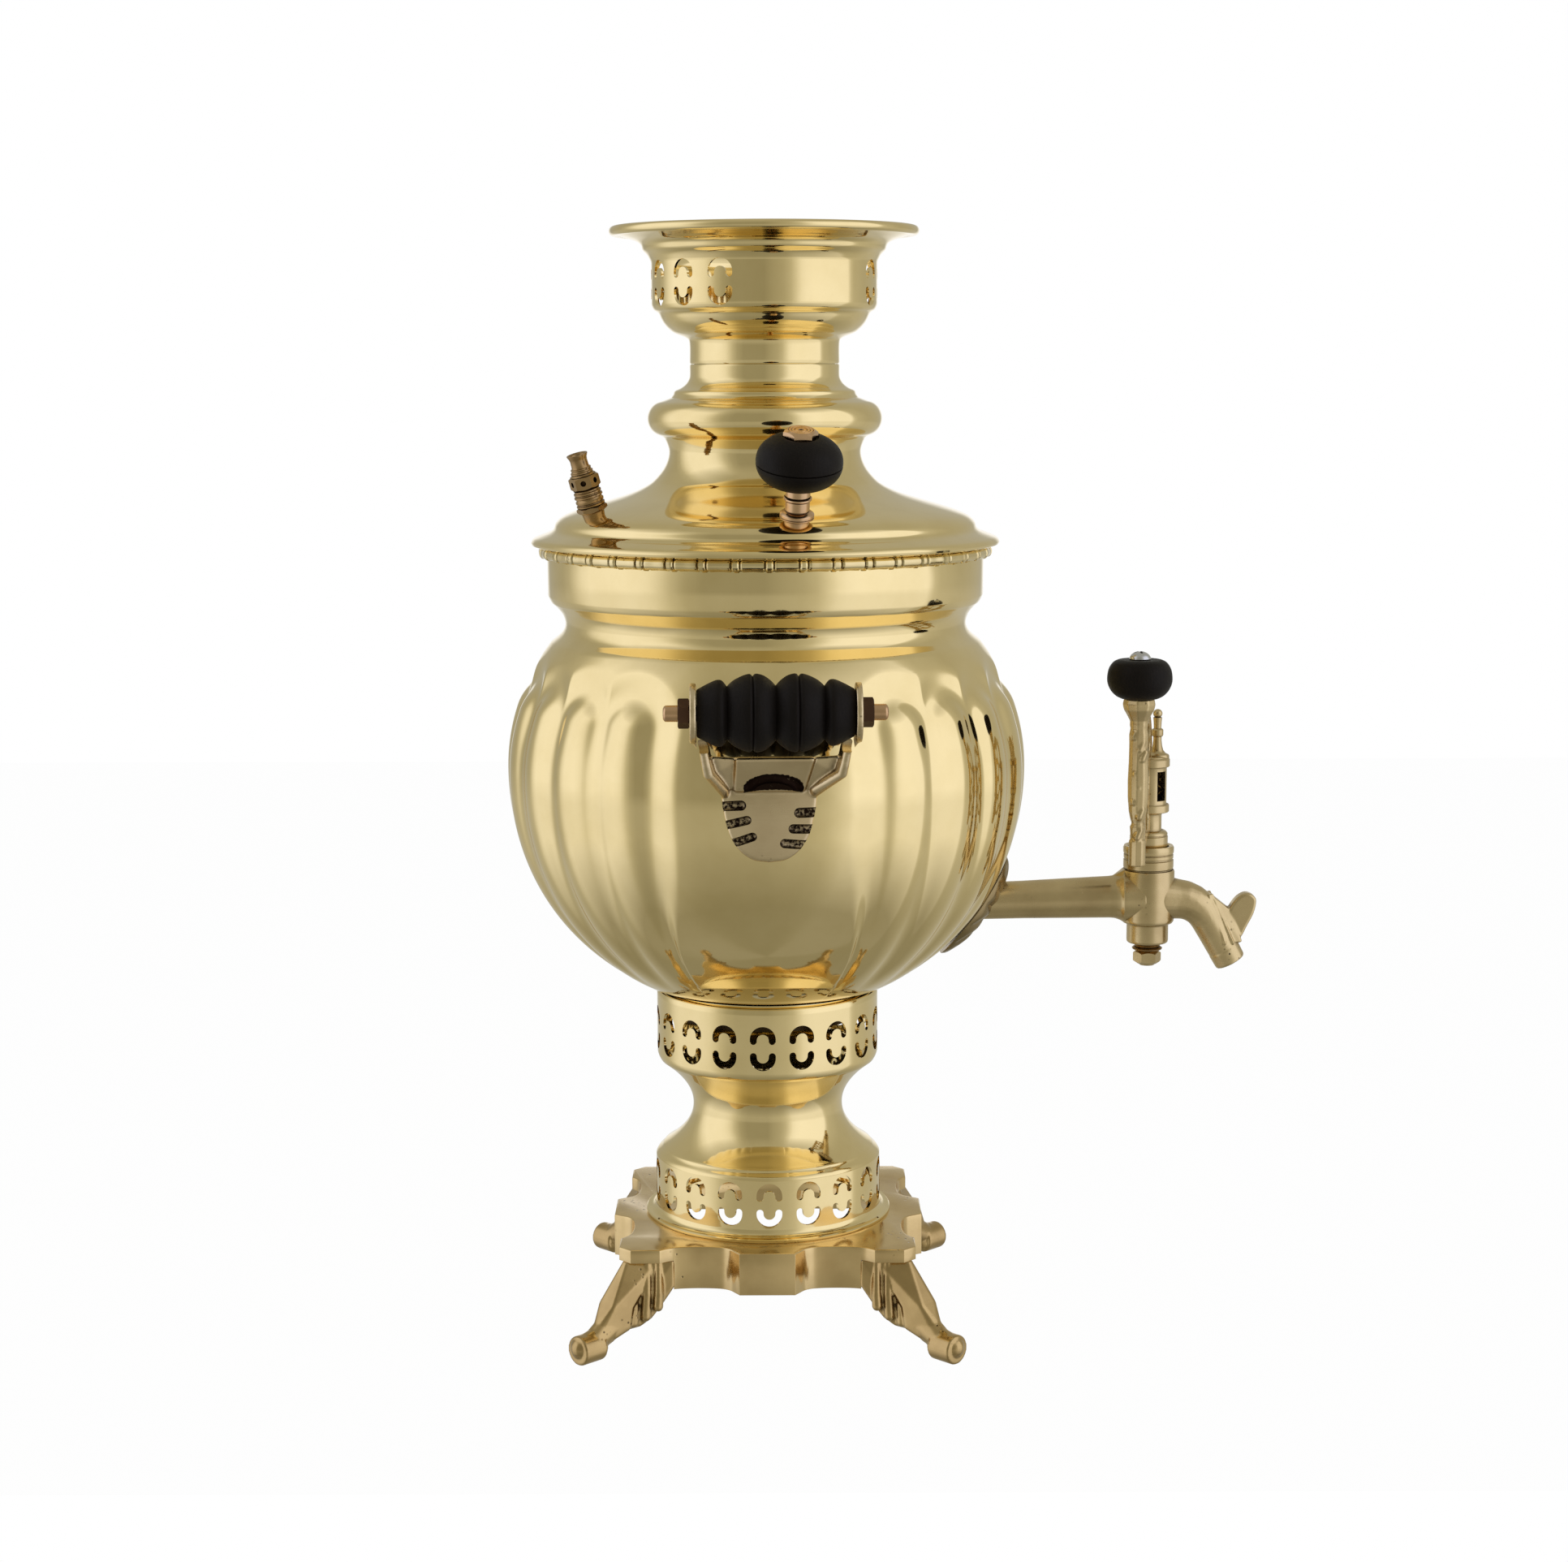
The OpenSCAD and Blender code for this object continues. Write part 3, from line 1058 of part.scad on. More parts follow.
foot_plate();
leg_front_left();
leg_front_right();
leg_back_left();
leg_back_right();
pedestal();
body_vessel();
bead_band();
fire_tube();
grate();
lid();
lid_stem_front();
lid_stem_back();
lid_knob_front();
lid_knob_back();
lid_knob_nut_front();
lid_knob_nut_back();
lid_stem_nuts();
vent_base();
vent_cap();
crown();
handle_bracket_front();
handle_bracket_back();
handle_grip_front();
handle_grip_back();
handle_rod_front();
handle_rod_back();
handle_nuts_front();
handle_nuts_back();
tap_body();
tap_escutcheon();
tap_gasket();
tap_shank_nut();
tap_plug();
key_branch();
key_knob();
key_knob_screw();
plug_washer();
plug_nut();
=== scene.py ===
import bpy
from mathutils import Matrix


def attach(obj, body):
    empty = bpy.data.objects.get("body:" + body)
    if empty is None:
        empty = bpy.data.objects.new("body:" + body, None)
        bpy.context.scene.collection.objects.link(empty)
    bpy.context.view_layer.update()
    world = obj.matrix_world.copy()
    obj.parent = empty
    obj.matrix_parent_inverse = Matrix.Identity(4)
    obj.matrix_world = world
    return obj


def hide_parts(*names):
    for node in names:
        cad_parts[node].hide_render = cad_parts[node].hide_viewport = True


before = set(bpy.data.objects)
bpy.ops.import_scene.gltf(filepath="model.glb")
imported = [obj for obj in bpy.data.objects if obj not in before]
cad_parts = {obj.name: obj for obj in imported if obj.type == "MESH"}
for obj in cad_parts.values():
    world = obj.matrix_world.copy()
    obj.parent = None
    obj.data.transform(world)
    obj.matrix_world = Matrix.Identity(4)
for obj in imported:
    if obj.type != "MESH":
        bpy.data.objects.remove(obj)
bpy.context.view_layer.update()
from math import pi, sin, cos, sqrt, radians, degrees, atan2, hypot
import bpy
import bmesh
from mathutils import Vector, Matrix

scene = bpy.context.scene
mm = 0.001
print("frame loaded:", len(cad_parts), "nodes")


# ---------- small tools

def linearColour(hexCode):
    parts = [int(hexCode[i:i + 2], 16) / 255 for i in (1, 3, 5)]
    return [c / 12.92 if c <= 0.04045 else ((c + 0.055) / 1.055) ** 2.4 for c in parts] + [1.0]


def addNode(tree, kind, settings=None, links=None):
    node = tree.nodes.new(kind)
    for name, value in (settings or {}).items():
        if isinstance(name, str) and hasattr(node, name):
            setattr(node, name, value)
        else:
            node.inputs[name].default_value = value
    for name, source in (links or {}).items():
        tree.links.new(source, node.inputs[name])
    return node


def blend(tree, amount, base, colour):
    # the base colour, turned towards a fixed colour by amount
    mixed = addNode(tree, "ShaderNodeMix", {"data_type": "RGBA"}, {0: amount, 6: base})
    mixed.inputs[7].default_value = colour
    return mixed.outputs[2]


def setRamp(ramp, stops):
    # stops are (place, colour) from left to right
    elements = ramp.color_ramp.elements
    while len(elements) > 1:
        elements.remove(elements[-1])
    elements[0].position, elements[0].color = stops[0]
    for place, colour in stops[1:]:
        elements.new(place).color = colour
    return ramp


def arcPoints(cx, cy, rx, ry, a0, a1, steps):
    return [(cx + rx * cos(radians(a0 + (a1 - a0) * i / steps)),
             cy + ry * sin(radians(a0 + (a1 - a0) * i / steps))) for i in range(steps + 1)]


def smoothLine(points, steps):
    # a smooth curve through all the points
    line = []
    for k in range(len(points) - 1):
        a, b, c, d = (points[max(k - 1, 0)], points[k], points[k + 1], points[min(k + 2, len(points) - 1)])
        for i in range(steps):
            t = i / steps
            line.append(tuple(0.5 * (2 * q + (r - p) * t + (2 * p - 5 * q + 4 * r - s) * t * t
                                     + (3 * q - p - 3 * r + s) * t ** 3) for p, q, r, s in zip(a, b, c, d)))
    line.append(tuple(points[-1]))
    return line


def inward(line, wall):
    # the line, which runs upwards, moved towards the axis by the wall
    moved = []
    for i, point in enumerate(line):
        along = (Vector(line[min(i + 1, len(line) - 1)]) - Vector(line[max(i - 1, 0)])).normalized()
        moved.append((point[0] - wall * along.y, point[1] + wall * along.x))
    return moved


def spin(outline, steps=192, closed=False):
    # turns an outline of (radius, height) in mm round the Z axis
    bm = bmesh.new()
    verts = [bm.verts.new((r * mm, 0, z * mm)) for r, z in outline]
    pairs = list(zip(verts, verts[1:])) + ([(verts[-1], verts[0])] if closed else [])
    edges = [bm.edges.new(pair) for pair in pairs]
    bmesh.ops.spin(bm, geom=verts + edges, cent=(0, 0, 0), axis=(0, 0, 1), dvec=(0, 0, 0),
                   angle=2 * pi, steps=steps, use_merge=True, use_duplicate=False)
    bmesh.ops.remove_doubles(bm, verts=bm.verts, dist=1e-7)
    bmesh.ops.recalc_face_normals(bm, faces=bm.faces)
    return bm


def plate(outline, low, high, bevel=0.0, segments=2):
    # a flat outline of (x, y) in mm raised from low to high, with its edges bevelled
    bm = bmesh.new()
    face = bm.faces.new([bm.verts.new((x * mm, y * mm, low * mm)) for x, y in outline])
    raised = bmesh.ops.extrude_face_region(bm, geom=[face])
    tops = [item for item in raised["geom"] if isinstance(item, bmesh.types.BMVert)]
    bmesh.ops.translate(bm, vec=(0, 0, (high - low) * mm), verts=tops)
    bmesh.ops.recalc_face_normals(bm, faces=bm.faces)
    if bevel > 0:
        rims = [e for e in bm.edges if abs(e.verts[0].co.z - e.verts[1].co.z) < 1e-9]
        bmesh.ops.bevel(bm, geom=rims, offset=bevel * mm, segments=segments, profile=0.5,
                        affect="EDGES", material=-1, clamp_overlap=True)
    return bm


def regularOutline(sides, acrossFlats, turn=0):
    radius = acrossFlats / 2 / cos(pi / sides)
    return [(radius * cos(2 * pi * i / sides + turn), radius * sin(2 * pi * i / sides + turn)) for i in range(sides)]


def turnInto(bm, place):
    bmesh.ops.transform(bm, matrix=place, verts=bm.verts)
    return bm


def merge(parts):
    # joins several bmeshes into the first one
    whole = parts[0]
    for part in parts[1:]:
        spare = bpy.data.meshes.new("spare")
        part.to_mesh(spare)
        part.free()
        whole.from_mesh(spare)
        bpy.data.meshes.remove(spare)
    return whole


def makeObject(name, bm, sharp=32):
    mesh = bpy.data.meshes.new(name)
    bm.to_mesh(mesh)
    bm.free()
    mesh.shade_smooth()
    mesh.set_sharp_from_angle(angle=radians(sharp))
    obj = bpy.data.objects.new(name, mesh)
    scene.collection.objects.link(obj)
    return obj


def applyModifiers(obj, sharp=32):
    bpy.context.view_layer.update()
    done = bpy.data.meshes.new_from_object(obj.evaluated_get(bpy.context.evaluated_depsgraph_get()))
    old, obj.data = obj.data, done
    obj.modifiers.clear()
    bpy.data.meshes.remove(old)
    obj.data.shade_smooth()
    obj.data.set_sharp_from_angle(angle=radians(sharp))
    return obj


def cutAway(obj, cutterMesh, sharp=32):
    cutter = makeObject("cutter", cutterMesh)
    tool = obj.modifiers.new("cut", "BOOLEAN")
    tool.operation, tool.solver, tool.object = "DIFFERENCE", "EXACT", cutter
    applyModifiers(obj, sharp)
    bpy.data.objects.remove(cutter)
    return obj


def takeMesh(obj):
    # the object's mesh as a bmesh; the object itself goes
    bm = bmesh.new()
    bm.from_mesh(obj.data)
    bpy.data.objects.remove(obj)
    return bm


def joinTo(obj, bm, sharp):
    # adds a bmesh to the object's mesh
    bm.from_mesh(obj.data)
    bm.to_mesh(obj.data)
    bm.free()
    obj.data.set_sharp_from_angle(angle=radians(sharp))


def finishPiece(obj, material, body, slotName, *nodes):
    obj.data.materials.clear()
    obj.data.materials.append(material)
    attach(obj, body)
    if nodes:
        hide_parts(*nodes)
    return obj


def standingOn(x, y, z, lean=0, turn=0):
    # a place in mm whose Z axis leans outwards by lean, in the direction turn (both in degrees)
    return (Matrix.Translation((x * mm, y * mm, z * mm)) @ Matrix.Rotation(radians(turn), 4, "Z")
            @ Matrix.Rotation(radians(lean), 4, "Y"))


# ---------- camera, light and floor

view = {"place": (0.0081, -1.1829, 0.4075), "down": 8.4685, "roll": 0.19, "lens": 64.32}
camera = bpy.data.objects.new("camera", bpy.data.cameras.new("camera"))
camera.data.lens, camera.data.sensor_width, camera.data.sensor_fit = view["lens"], 36, "HORIZONTAL"
camera.location = view["place"]
camera.rotation_euler = (radians(90 - view["down"]), radians(view["roll"]), 0)
scene.collection.objects.link(camera)
scene.camera = camera
scene.view_settings.view_transform = "Standard"

softboxes = {
    "rightBox": {"at": (0.97, -0.47, 0.50), "aim": (0, 0, 0.26), "wide": 0.45, "high": 1.00, "glow": 1.02},
    "leftBox": {"at": (-1.00, -0.04, 0.50), "aim": (0, 0, 0.26), "wide": 0.46, "high": 1.00, "glow": 1.00},
    "topBox": {"at": (0.0, -0.15, 1.60), "aim": (0, 0, 0.30), "wide": 1.20, "high": 0.90, "glow": 0.45},
}
for name, box in softboxes.items():
    lamp = bpy.data.lights.new(name, "AREA")
    lamp.shape, lamp.size, lamp.size_y = "RECTANGLE", box["wide"], box["high"]
    lamp.energy = box["glow"] * pi * box["wide"] * box["high"]
    obj = bpy.data.objects.new(name, lamp)
    obj.location = box["at"]
    obj.rotation_euler = (Vector(box["aim"]) - Vector(box["at"])).to_track_quat("-Z", "Y").to_euler()
    # polished metal shows the room's walls, not the lamps
    obj.visible_glossy = False
    scene.collection.objects.link(obj)

# the room as polished metal sees it: two soft bright walls, a dim warm front and back, and white paper behind;
# each stop is the direction in degrees from the front, to the left when negative, and its brightness
room = {"fill": 0.16, "stops": [(-180, 0.44), (-150, 0.41), (-132, 0.42), (-124, 0.50), (-118, 0.68), (-112, 0.86),
                                (-104, 0.98), (-78, 1.00), (-69, 0.96), (-62, 0.89), (-56, 0.74), (-50, 0.56),
                                (-42, 0.41), (-32, 0.33), (0, 0.32), (8, 0.38), (20, 0.45), (27, 0.55), (33, 0.74),
                                (38, 0.92), (44, 1.00), (52, 1.03), (94, 1.00), (99, 0.62), (104, 0.52), (122, 0.45),
                                (160, 0.45), (180, 0.44)]}


def roomTint(b):
    # the dim parts of the room are warmer than its bright walls
    t = max(0.0, min(1.0, (b - 0.3) / 0.7))
    return [b, b * (0.975 + 0.045 * t), b * (0.80 + 0.33 * t), 1]


world = bpy.data.worlds.new("room")
scene.world = world
world.use_nodes = True
tree = world.node_tree
tree.nodes.clear()
white = [1, 1, 1, 1]
spot = addNode(tree, "ShaderNodeTexCoord")
axes = addNode(tree, "ShaderNodeSeparateXYZ", links={0: spot.outputs["Generated"]})
frontward = addNode(tree, "ShaderNodeMath", {"operation": "MULTIPLY", 1: -1.0}, {0: axes.outputs["Y"]})
bearing = addNode(tree, "ShaderNodeMath", {"operation": "ARCTAN2"}, {0: axes.outputs["X"], 1: frontward.outputs[0]})
around = addNode(tree, "ShaderNodeMapRange", {"From Min": -pi, "From Max": pi}, {"Value": bearing.outputs[0]})
walls = addNode(tree, "ShaderNodeValToRGB", links={0: around.outputs["Result"]})
setRamp(walls, [((a + 180) / 360, roomTint(b)) for a, b in room["stops"]])


def between(low, high, value):
    return addNode(tree, "ShaderNodeMapRange", {"From Min": low, "From Max": high}, {"Value": value}).outputs[0]


# white paper behind the object up to a little above the horizon, an even ceiling, a pale table and a dimmer foot
paperBack = addNode(tree, "ShaderNodeMath", {"operation": "MULTIPLY"},
                    {0: between(0.93, 0.985, axes.outputs["Y"]), 1: between(0.20, 0.08, axes.outputs["Z"])})
backed = blend(tree, paperBack.outputs[0], walls.outputs["Color"], white)
roofed = blend(tree, between(0.62, 0.92, axes.outputs["Z"]), backed, roomTint(0.42))
tabled = addNode(tree, "ShaderNodeMath", {"operation": "MULTIPLY", 1: 0.30},
                 {0: between(-0.10, -0.20, axes.outputs["Z"])})
lowered = blend(tree, tabled.outputs[0], roofed, roomTint(0.62))
sunk = addNode(tree, "ShaderNodeMath", {"operation": "MULTIPLY", 1: 0.90},
               {0: between(-0.40, -0.85, axes.outputs["Z"])})
based = blend(tree, sunk.outputs[0], lowered, roomTint(0.26))
ways = addNode(tree, "ShaderNodeLightPath")
mirrored = addNode(tree, "ShaderNodeMath", {"operation": "MAXIMUM"},
                   {0: ways.outputs["Is Glossy Ray"], 1: ways.outputs["Is Transmission Ray"]})
seen = addNode(tree, "ShaderNodeBackground", {"Strength": 1.0}, {"Color": based})
plain = addNode(tree, "ShaderNodeBackground", {"Color": white, "Strength": 1.0})
even = addNode(tree, "ShaderNodeBackground", {"Color": linearColour("#FFFBF4"), "Strength": room["fill"]})
first = addNode(tree, "ShaderNodeMixShader", links={0: mirrored.outputs[0], 1: even.outputs[0], 2: seen.outputs[0]})
both = addNode(tree, "ShaderNodeMixShader",
               links={0: ways.outputs["Is Camera Ray"], 1: first.outputs[0], 2: plain.outputs[0]})
addNode(tree, "ShaderNodeOutputWorld", links={0: both.outputs[0]})

# a plain pale floor: nearly white to the camera, with the object's shadow left on it
ground = {"half": 1.2, "front": -0.21, "back": 1.7, "colour": "#ECEAE4", "seenWhite": 0.985}
bm = bmesh.new()
bmesh.ops.create_grid(bm, x_segments=1, y_segments=1, size=1.0)
for vert in bm.verts:
    vert.co = (vert.co.x * ground["half"], ground["front"] if vert.co.y < 0 else ground["back"], 0)
floorObject = makeObject("floor", bm)
floorPaper = bpy.data.materials.new("white studio paper")
floorPaper.use_nodes = True
tree = floorPaper.node_tree
tree.nodes.clear()
matt = addNode(tree, "ShaderNodeBsdfDiffuse", {"Color": linearColour(ground["colour"])})
glow = addNode(tree, "ShaderNodeEmission", {"Color": white, "Strength": 1.0})
ways = addNode(tree, "ShaderNodeLightPath")
share = addNode(tree, "ShaderNodeMath", {"operation": "MULTIPLY", 1: ground["seenWhite"]},
                {0: ways.outputs["Is Camera Ray"]})
paper = addNode(tree, "ShaderNodeMixShader", links={0: share.outputs[0], 1: matt.outputs[0], 2: glow.outputs[0]})
# reflections look past it to the room's own table
passing = addNode(tree, "ShaderNodeBsdfTransparent")
both = addNode(tree, "ShaderNodeMixShader",
               links={0: ways.outputs["Is Glossy Ray"], 1: paper.outputs[0], 2: passing.outputs[0]})
addNode(tree, "ShaderNodeOutputMaterial", links={0: both.outputs[0]})
floorObject.data.materials.append(floorPaper)
print("camera, light and floor set")


# ---------- materials

def metalFinish(name, bright, deep, rough, pits=0.0, brushed=0.0, hollow=0.0, ripple=0.0, recessShade=False):
    # bright and deep: the metal's colour where it is polished and where it has darkened
    material = bpy.data.materials.new(name)
    material.use_nodes = True
    tree = material.node_tree
    tree.nodes.clear()
    where = addNode(tree, "ShaderNodeTexCoord")
    cloudy = addNode(tree, "ShaderNodeTexNoise", {"Scale": 38.0, "Detail": 4.0, "Roughness": 0.6},
                     {"Vector": where.outputs["Object"]})
    tone = addNode(tree, "ShaderNodeValToRGB", links={0: cloudy.outputs["Fac"]})
    setRamp(tone, [(0.30, linearColour(deep)), (0.58, linearColour(bright)), (1.0, linearColour(bright))])
    colour = addNode(tree, "ShaderNodeMix", {"data_type": "RGBA", "Factor": 0.35},
                     {7: tone.outputs["Color"]})
    colour.inputs[6].default_value = linearColour(bright)
    colourOut = colour.outputs[2]
    smear = addNode(tree, "ShaderNodeTexNoise", {"Scale": 90.0, "Detail": 5.0, "Roughness": 0.65},
                    {"Vector": where.outputs["Object"]})
    polish = addNode(tree, "ShaderNodeMapRange", {"To Min": rough * 0.55, "To Max": rough * 1.6},
                     {"Value": smear.outputs["Fac"]})
    bumpOut = None
    if ripple > 0:
        # the slight waves that hand polishing leaves, about 20 mm long
        waves = addNode(tree, "ShaderNodeTexNoise", {"Scale": 50.0, "Detail": 1.0}, {"Vector": where.outputs["Object"]})
        bumpOut = addNode(tree, "ShaderNodeBump", {"Strength": 1.0, "Distance": ripple * mm},
                          {"Height": waves.outputs["Fac"]}).outputs[0]
    if brushed > 0:
        # rubbing marks: long streaks about 0.3 mm wide
        streaks = addNode(tree, "ShaderNodeMapping", {"Scale": (40, 40, 900)}, {"Vector": where.outputs["Object"]})
        lines = addNode(tree, "ShaderNodeTexNoise", {"Scale": 3.0, "Detail": 3.0}, {"Vector": streaks.outputs[0]})
        links = {"Height": lines.outputs["Fac"]}
        if bumpOut:
            links["Normal"] = bumpOut
        bumpOut = addNode(tree, "ShaderNodeBump", {"Strength": 1.0, "Distance": brushed * mm}, links).outputs[0]
    if pits > 0:
        # casting pits, 0.5 to 1.5 mm across
        holes = addNode(tree, "ShaderNodeTexVoronoi", {"Scale": 420.0}, {"Vector": where.outputs["Object"]})
        few = addNode(tree, "ShaderNodeTexNoise", {"Scale": 60.0, "Detail": 2.0}, {"Vector": where.outputs["Object"]})
        edge = addNode(tree, "ShaderNodeMapRange", {"From Min": 0.10, "From Max": 0.26},
                       {"Value": holes.outputs["Distance"]})
        rare = addNode(tree, "ShaderNodeMapRange", {"From Min": 0.60, "From Max": 0.70}, {"Value": few.outputs["Fac"]})
        inverse = addNode(tree, "ShaderNodeMath", {"operation": "SUBTRACT", 0: 1.0}, {1: edge.outputs[0]})
        pitted = addNode(tree, "ShaderNodeMath", {"operation": "MULTIPLY"}, {0: inverse.outputs[0], 1: rare.outputs[0]})
        links = {"Height": pitted.outputs[0]}
        if bumpOut:
            links["Normal"] = bumpOut
        bumpOut = addNode(tree, "ShaderNodeBump", {"Strength": 1.0, "Distance": pits * mm, "invert": True},
                          links).outputs[0]
        colourOut = blend(tree, pitted.outputs[0], colourOut, linearColour("#3A2A18"))
    if hollow > 0:
        # painted shade: the hollows and creases that ambient occlusion finds are turned dark brown, and made rougher
        dip = addNode(tree, "ShaderNodeAmbientOcclusion", {"Distance": hollow * mm, "samples": 8, "only_local": True})
        creaseShade = addNode(tree, "ShaderNodeMapRange", {"From Min": 0.42, "From Max": 0.86, "To Min": 1.0, "To Max": 0.0},
                        {"Value": dip.outputs["AO"]})
        colourOut = blend(tree, creaseShade.outputs[0], colourOut, linearColour("#3B2A1C"))
        polish = addNode(tree, "ShaderNodeMath", {"operation": "MULTIPLY_ADD", 1: 0.35},
                         {0: creaseShade.outputs[0], 2: polish.outputs[0]})
    if recessShade:
        # painted shade: where the piece's own attribute marks a recess, the colour goes nearly black, with a ragged
        # edge
        marked = addNode(tree, "ShaderNodeAttribute", {"attribute_name": "recessShade"})
        ragged = addNode(tree, "ShaderNodeTexNoise", {"Scale": 900.0, "Detail": 2.0},
                         {"Vector": where.outputs["Object"]})
        summed = addNode(tree, "ShaderNodeMath", {"operation": "ADD"},
                         {0: marked.outputs["Fac"], 1: ragged.outputs["Fac"]})
        black = addNode(tree, "ShaderNodeMapRange", {"From Min": 0.92, "From Max": 1.12}, {"Value": summed.outputs[0]})
        colourOut = blend(tree, black.outputs[0], colourOut, linearColour("#2A1D17"))
        polish = addNode(tree, "ShaderNodeMath", {"operation": "MULTIPLY_ADD", 1: 0.25},
                         {0: black.outputs[0], 2: polish.outputs[0]})
    surface = addNode(tree, "ShaderNodeBsdfPrincipled", {"Metallic": 1.0},
                      {"Base Color": colourOut, "Roughness": polish.outputs[0]})
    if bumpOut:
        tree.links.new(bumpOut, surface.inputs["Normal"])
    addNode(tree, "ShaderNodeOutputMaterial", links={0: surface.outputs[0]})
    return material


def woodFinish(name, dark, light, rough, grainTurn):
    # blackened beech under worn lacquer: satin, with fine pores along the grain
    material = bpy.data.materials.new(name)
    material.use_nodes = True
    tree = material.node_tree
    tree.nodes.clear()
    where = addNode(tree, "ShaderNodeTexCoord")
    turned = addNode(tree, "ShaderNodeMapping", {"Rotation": grainTurn, "Scale": (60, 60, 9)},
                     {"Vector": where.outputs["Object"]})
    grain = addNode(tree, "ShaderNodeTexNoise", {"Scale": 28.0, "Detail": 5.0, "Roughness": 0.7},
                    {"Vector": turned.outputs[0]})
    worn = addNode(tree, "ShaderNodeTexNoise", {"Scale": 120.0, "Detail": 3.0}, {"Vector": where.outputs["Object"]})
    tone = addNode(tree, "ShaderNodeValToRGB", links={0: grain.outputs["Fac"]})
    setRamp(tone, [(0.35, linearColour(dark)), (0.72, linearColour(light))])
    polish = addNode(tree, "ShaderNodeMapRange", {"To Min": rough * 0.8, "To Max": rough * 1.3},
                     {"Value": worn.outputs["Fac"]})
    bump = addNode(tree, "ShaderNodeBump", {"Strength": 1.0, "Distance": 0.08 * mm}, {"Height": grain.outputs["Fac"]})
    surface = addNode(tree, "ShaderNodeBsdfPrincipled", {"IOR": 1.25},
                      {"Base Color": tone.outputs["Color"], "Roughness": polish.outputs[0], "Normal": bump.outputs[0]})
    addNode(tree, "ShaderNodeOutputMaterial", links={0: surface.outputs[0]})
    return material


# hollow: how far, in mm, each finish's painted shade in its hollows and creases reaches
spunBrass = metalFinish("spun yellow brass, mirror polished", "#F6E0A6", "#E2CA8A", 0.06, ripple=0.05)
bandBrass = metalFinish("cast brass band, polished", "#F0DDA8", "#C9A96C", 0.15, pits=0.05, hollow=2.5)
castBrass = metalFinish("cast brass, polished", "#E6CA92", "#A98650", 0.17, pits=0.12, hollow=6.0, ripple=0.10)
legBrass = metalFinish("cast brass, darkened in the folds", "#C9AC76", "#7E6138", 0.19, pits=0.12, hollow=7.0,
                       ripple=0.10)
bracketBrass = metalFinish("cast brass, brushed pale", "#E4CFA6", "#B89C74", 0.22, pits=0.05, brushed=0.03,
                           hollow=5.0, recessShade=True)
paleBrass = metalFinish("cast tap brass, rubbed dull", "#DCC594", "#A08459", 0.24, pits=0.08, brushed=0.02,
                        hollow=4.0, recessShade=True)
turnedBrass = metalFinish("turned rose brass", "#DDB78C", "#AC8058", 0.18, brushed=0.015, hollow=2.5)
agedBronze = metalFinish("turned bronze, tarnished", "#AE8F62", "#57442F", 0.24, hollow=2.4)
leafBronze = metalFinish("cast bronze leaf, tarnished", "#9C8860", "#453828", 0.22, pits=0.05, hollow=3.0)
darkNut = metalFinish("browned steel", "#5E4636", "#3A2A22", 0.42, hollow=3.0)
brightSteel = metalFinish("bright steel", "#D6D6D6", "#B5B5B5", 0.18, hollow=1.5)
sootyBrass = metalFinish("sooty brass tube", "#5A4A34", "#2A2420", 0.5)
roughIron = metalFinish("cast iron", "#4A4744", "#2B2927", 0.6)
blackWood = woodFinish("blackened beech, satin lacquer", "#191512", "#251F1A", 0.48, (0, 0, 0))
gripWood = woodFinish("blackened beech, grain along the grip", "#171310", "#221C18", 0.52, (0, pi / 2, 0))
fibre = woodFinish("pressed fibre", "#3A2C22", "#5A4636", 0.8, (0, 0, 0))
print("materials made")


# ---------- vessel

vesselSize = {"bellyR": 110.0, "bellyZ": 238.0, "low": 104.0, "up": 95.1, "grooveR": 84.5, "grooveZ": 299.6,
              "collarR": 91.7, "collarZ": 312.0, "mouthZ": 332.4, "wall": 1.2, "steps": 704, "lobesLow": 147.5,
              "lobesHigh": 291.0, "footR": 50.0}
lobes = {"depth": 2.0, "count": 9, "panelHalf": 24.5, "archZ": 265.5, "archFlat": 0.87, "low": 148.5,
         "body": 0.66, "rim": 12.5, "deeper": 0.35}


def bellyRadius(z):
    u = abs(z - vesselSize["bellyZ"]) / (vesselSize["low"] if z < vesselSize["bellyZ"] else vesselSize["up"])
    power = 2.06 if z < vesselSize["bellyZ"] else 2.0
    return vesselSize["bellyR"] * max(0.0, 1 - u ** power) ** (1 / power)


def smoothStep(t):
    t = min(1.0, max(0.0, t))
    return t * t * (3 - 2 * t)


def lobeDrop(azimuth, z):
    # how far the wall is pressed in at this azimuth (degrees, 0 at the front) and height (mm):
    # a convex lobe, a hollow channel round it, and the channel's outer slope up to the plain wall
    turn = azimuth % 180
    pitch = (180 - 2 * lobes["panelHalf"]) / lobes["count"]
    radius = bellyRadius(min(z, lobes["archZ"]))
    half = radians(pitch / 2) * radius
    which = min(lobes["count"] - 1, max(0, int((turn - lobes["panelHalf"]) // pitch)))
    across = radians(turn - lobes["panelHalf"] - pitch * (which + 0.5)) * radius
    above = max(0.0, z - lobes["archZ"]) / lobes["archFlat"]
    far = hypot(across, above)
    rim = lobes["rim"] * (0.06 + 0.94 * smoothStep((z - 158) / 66))
    body = lobes["body"] * half
    if far < body:
        drop = lobes["body"] * (far / body) ** 2
    elif far < half:
        drop = 1 - (1 - lobes["body"]) * ((half - far) / (half - body)) ** 2
    else:
        drop = 1 - smoothStep((far - half) / rim)
    deep = lobes["depth"] * (1 + lobes["deeper"] * smoothStep((z - 246) / 18))
    return deep * drop * smoothStep((z - lobes["low"] + 1) / 16)


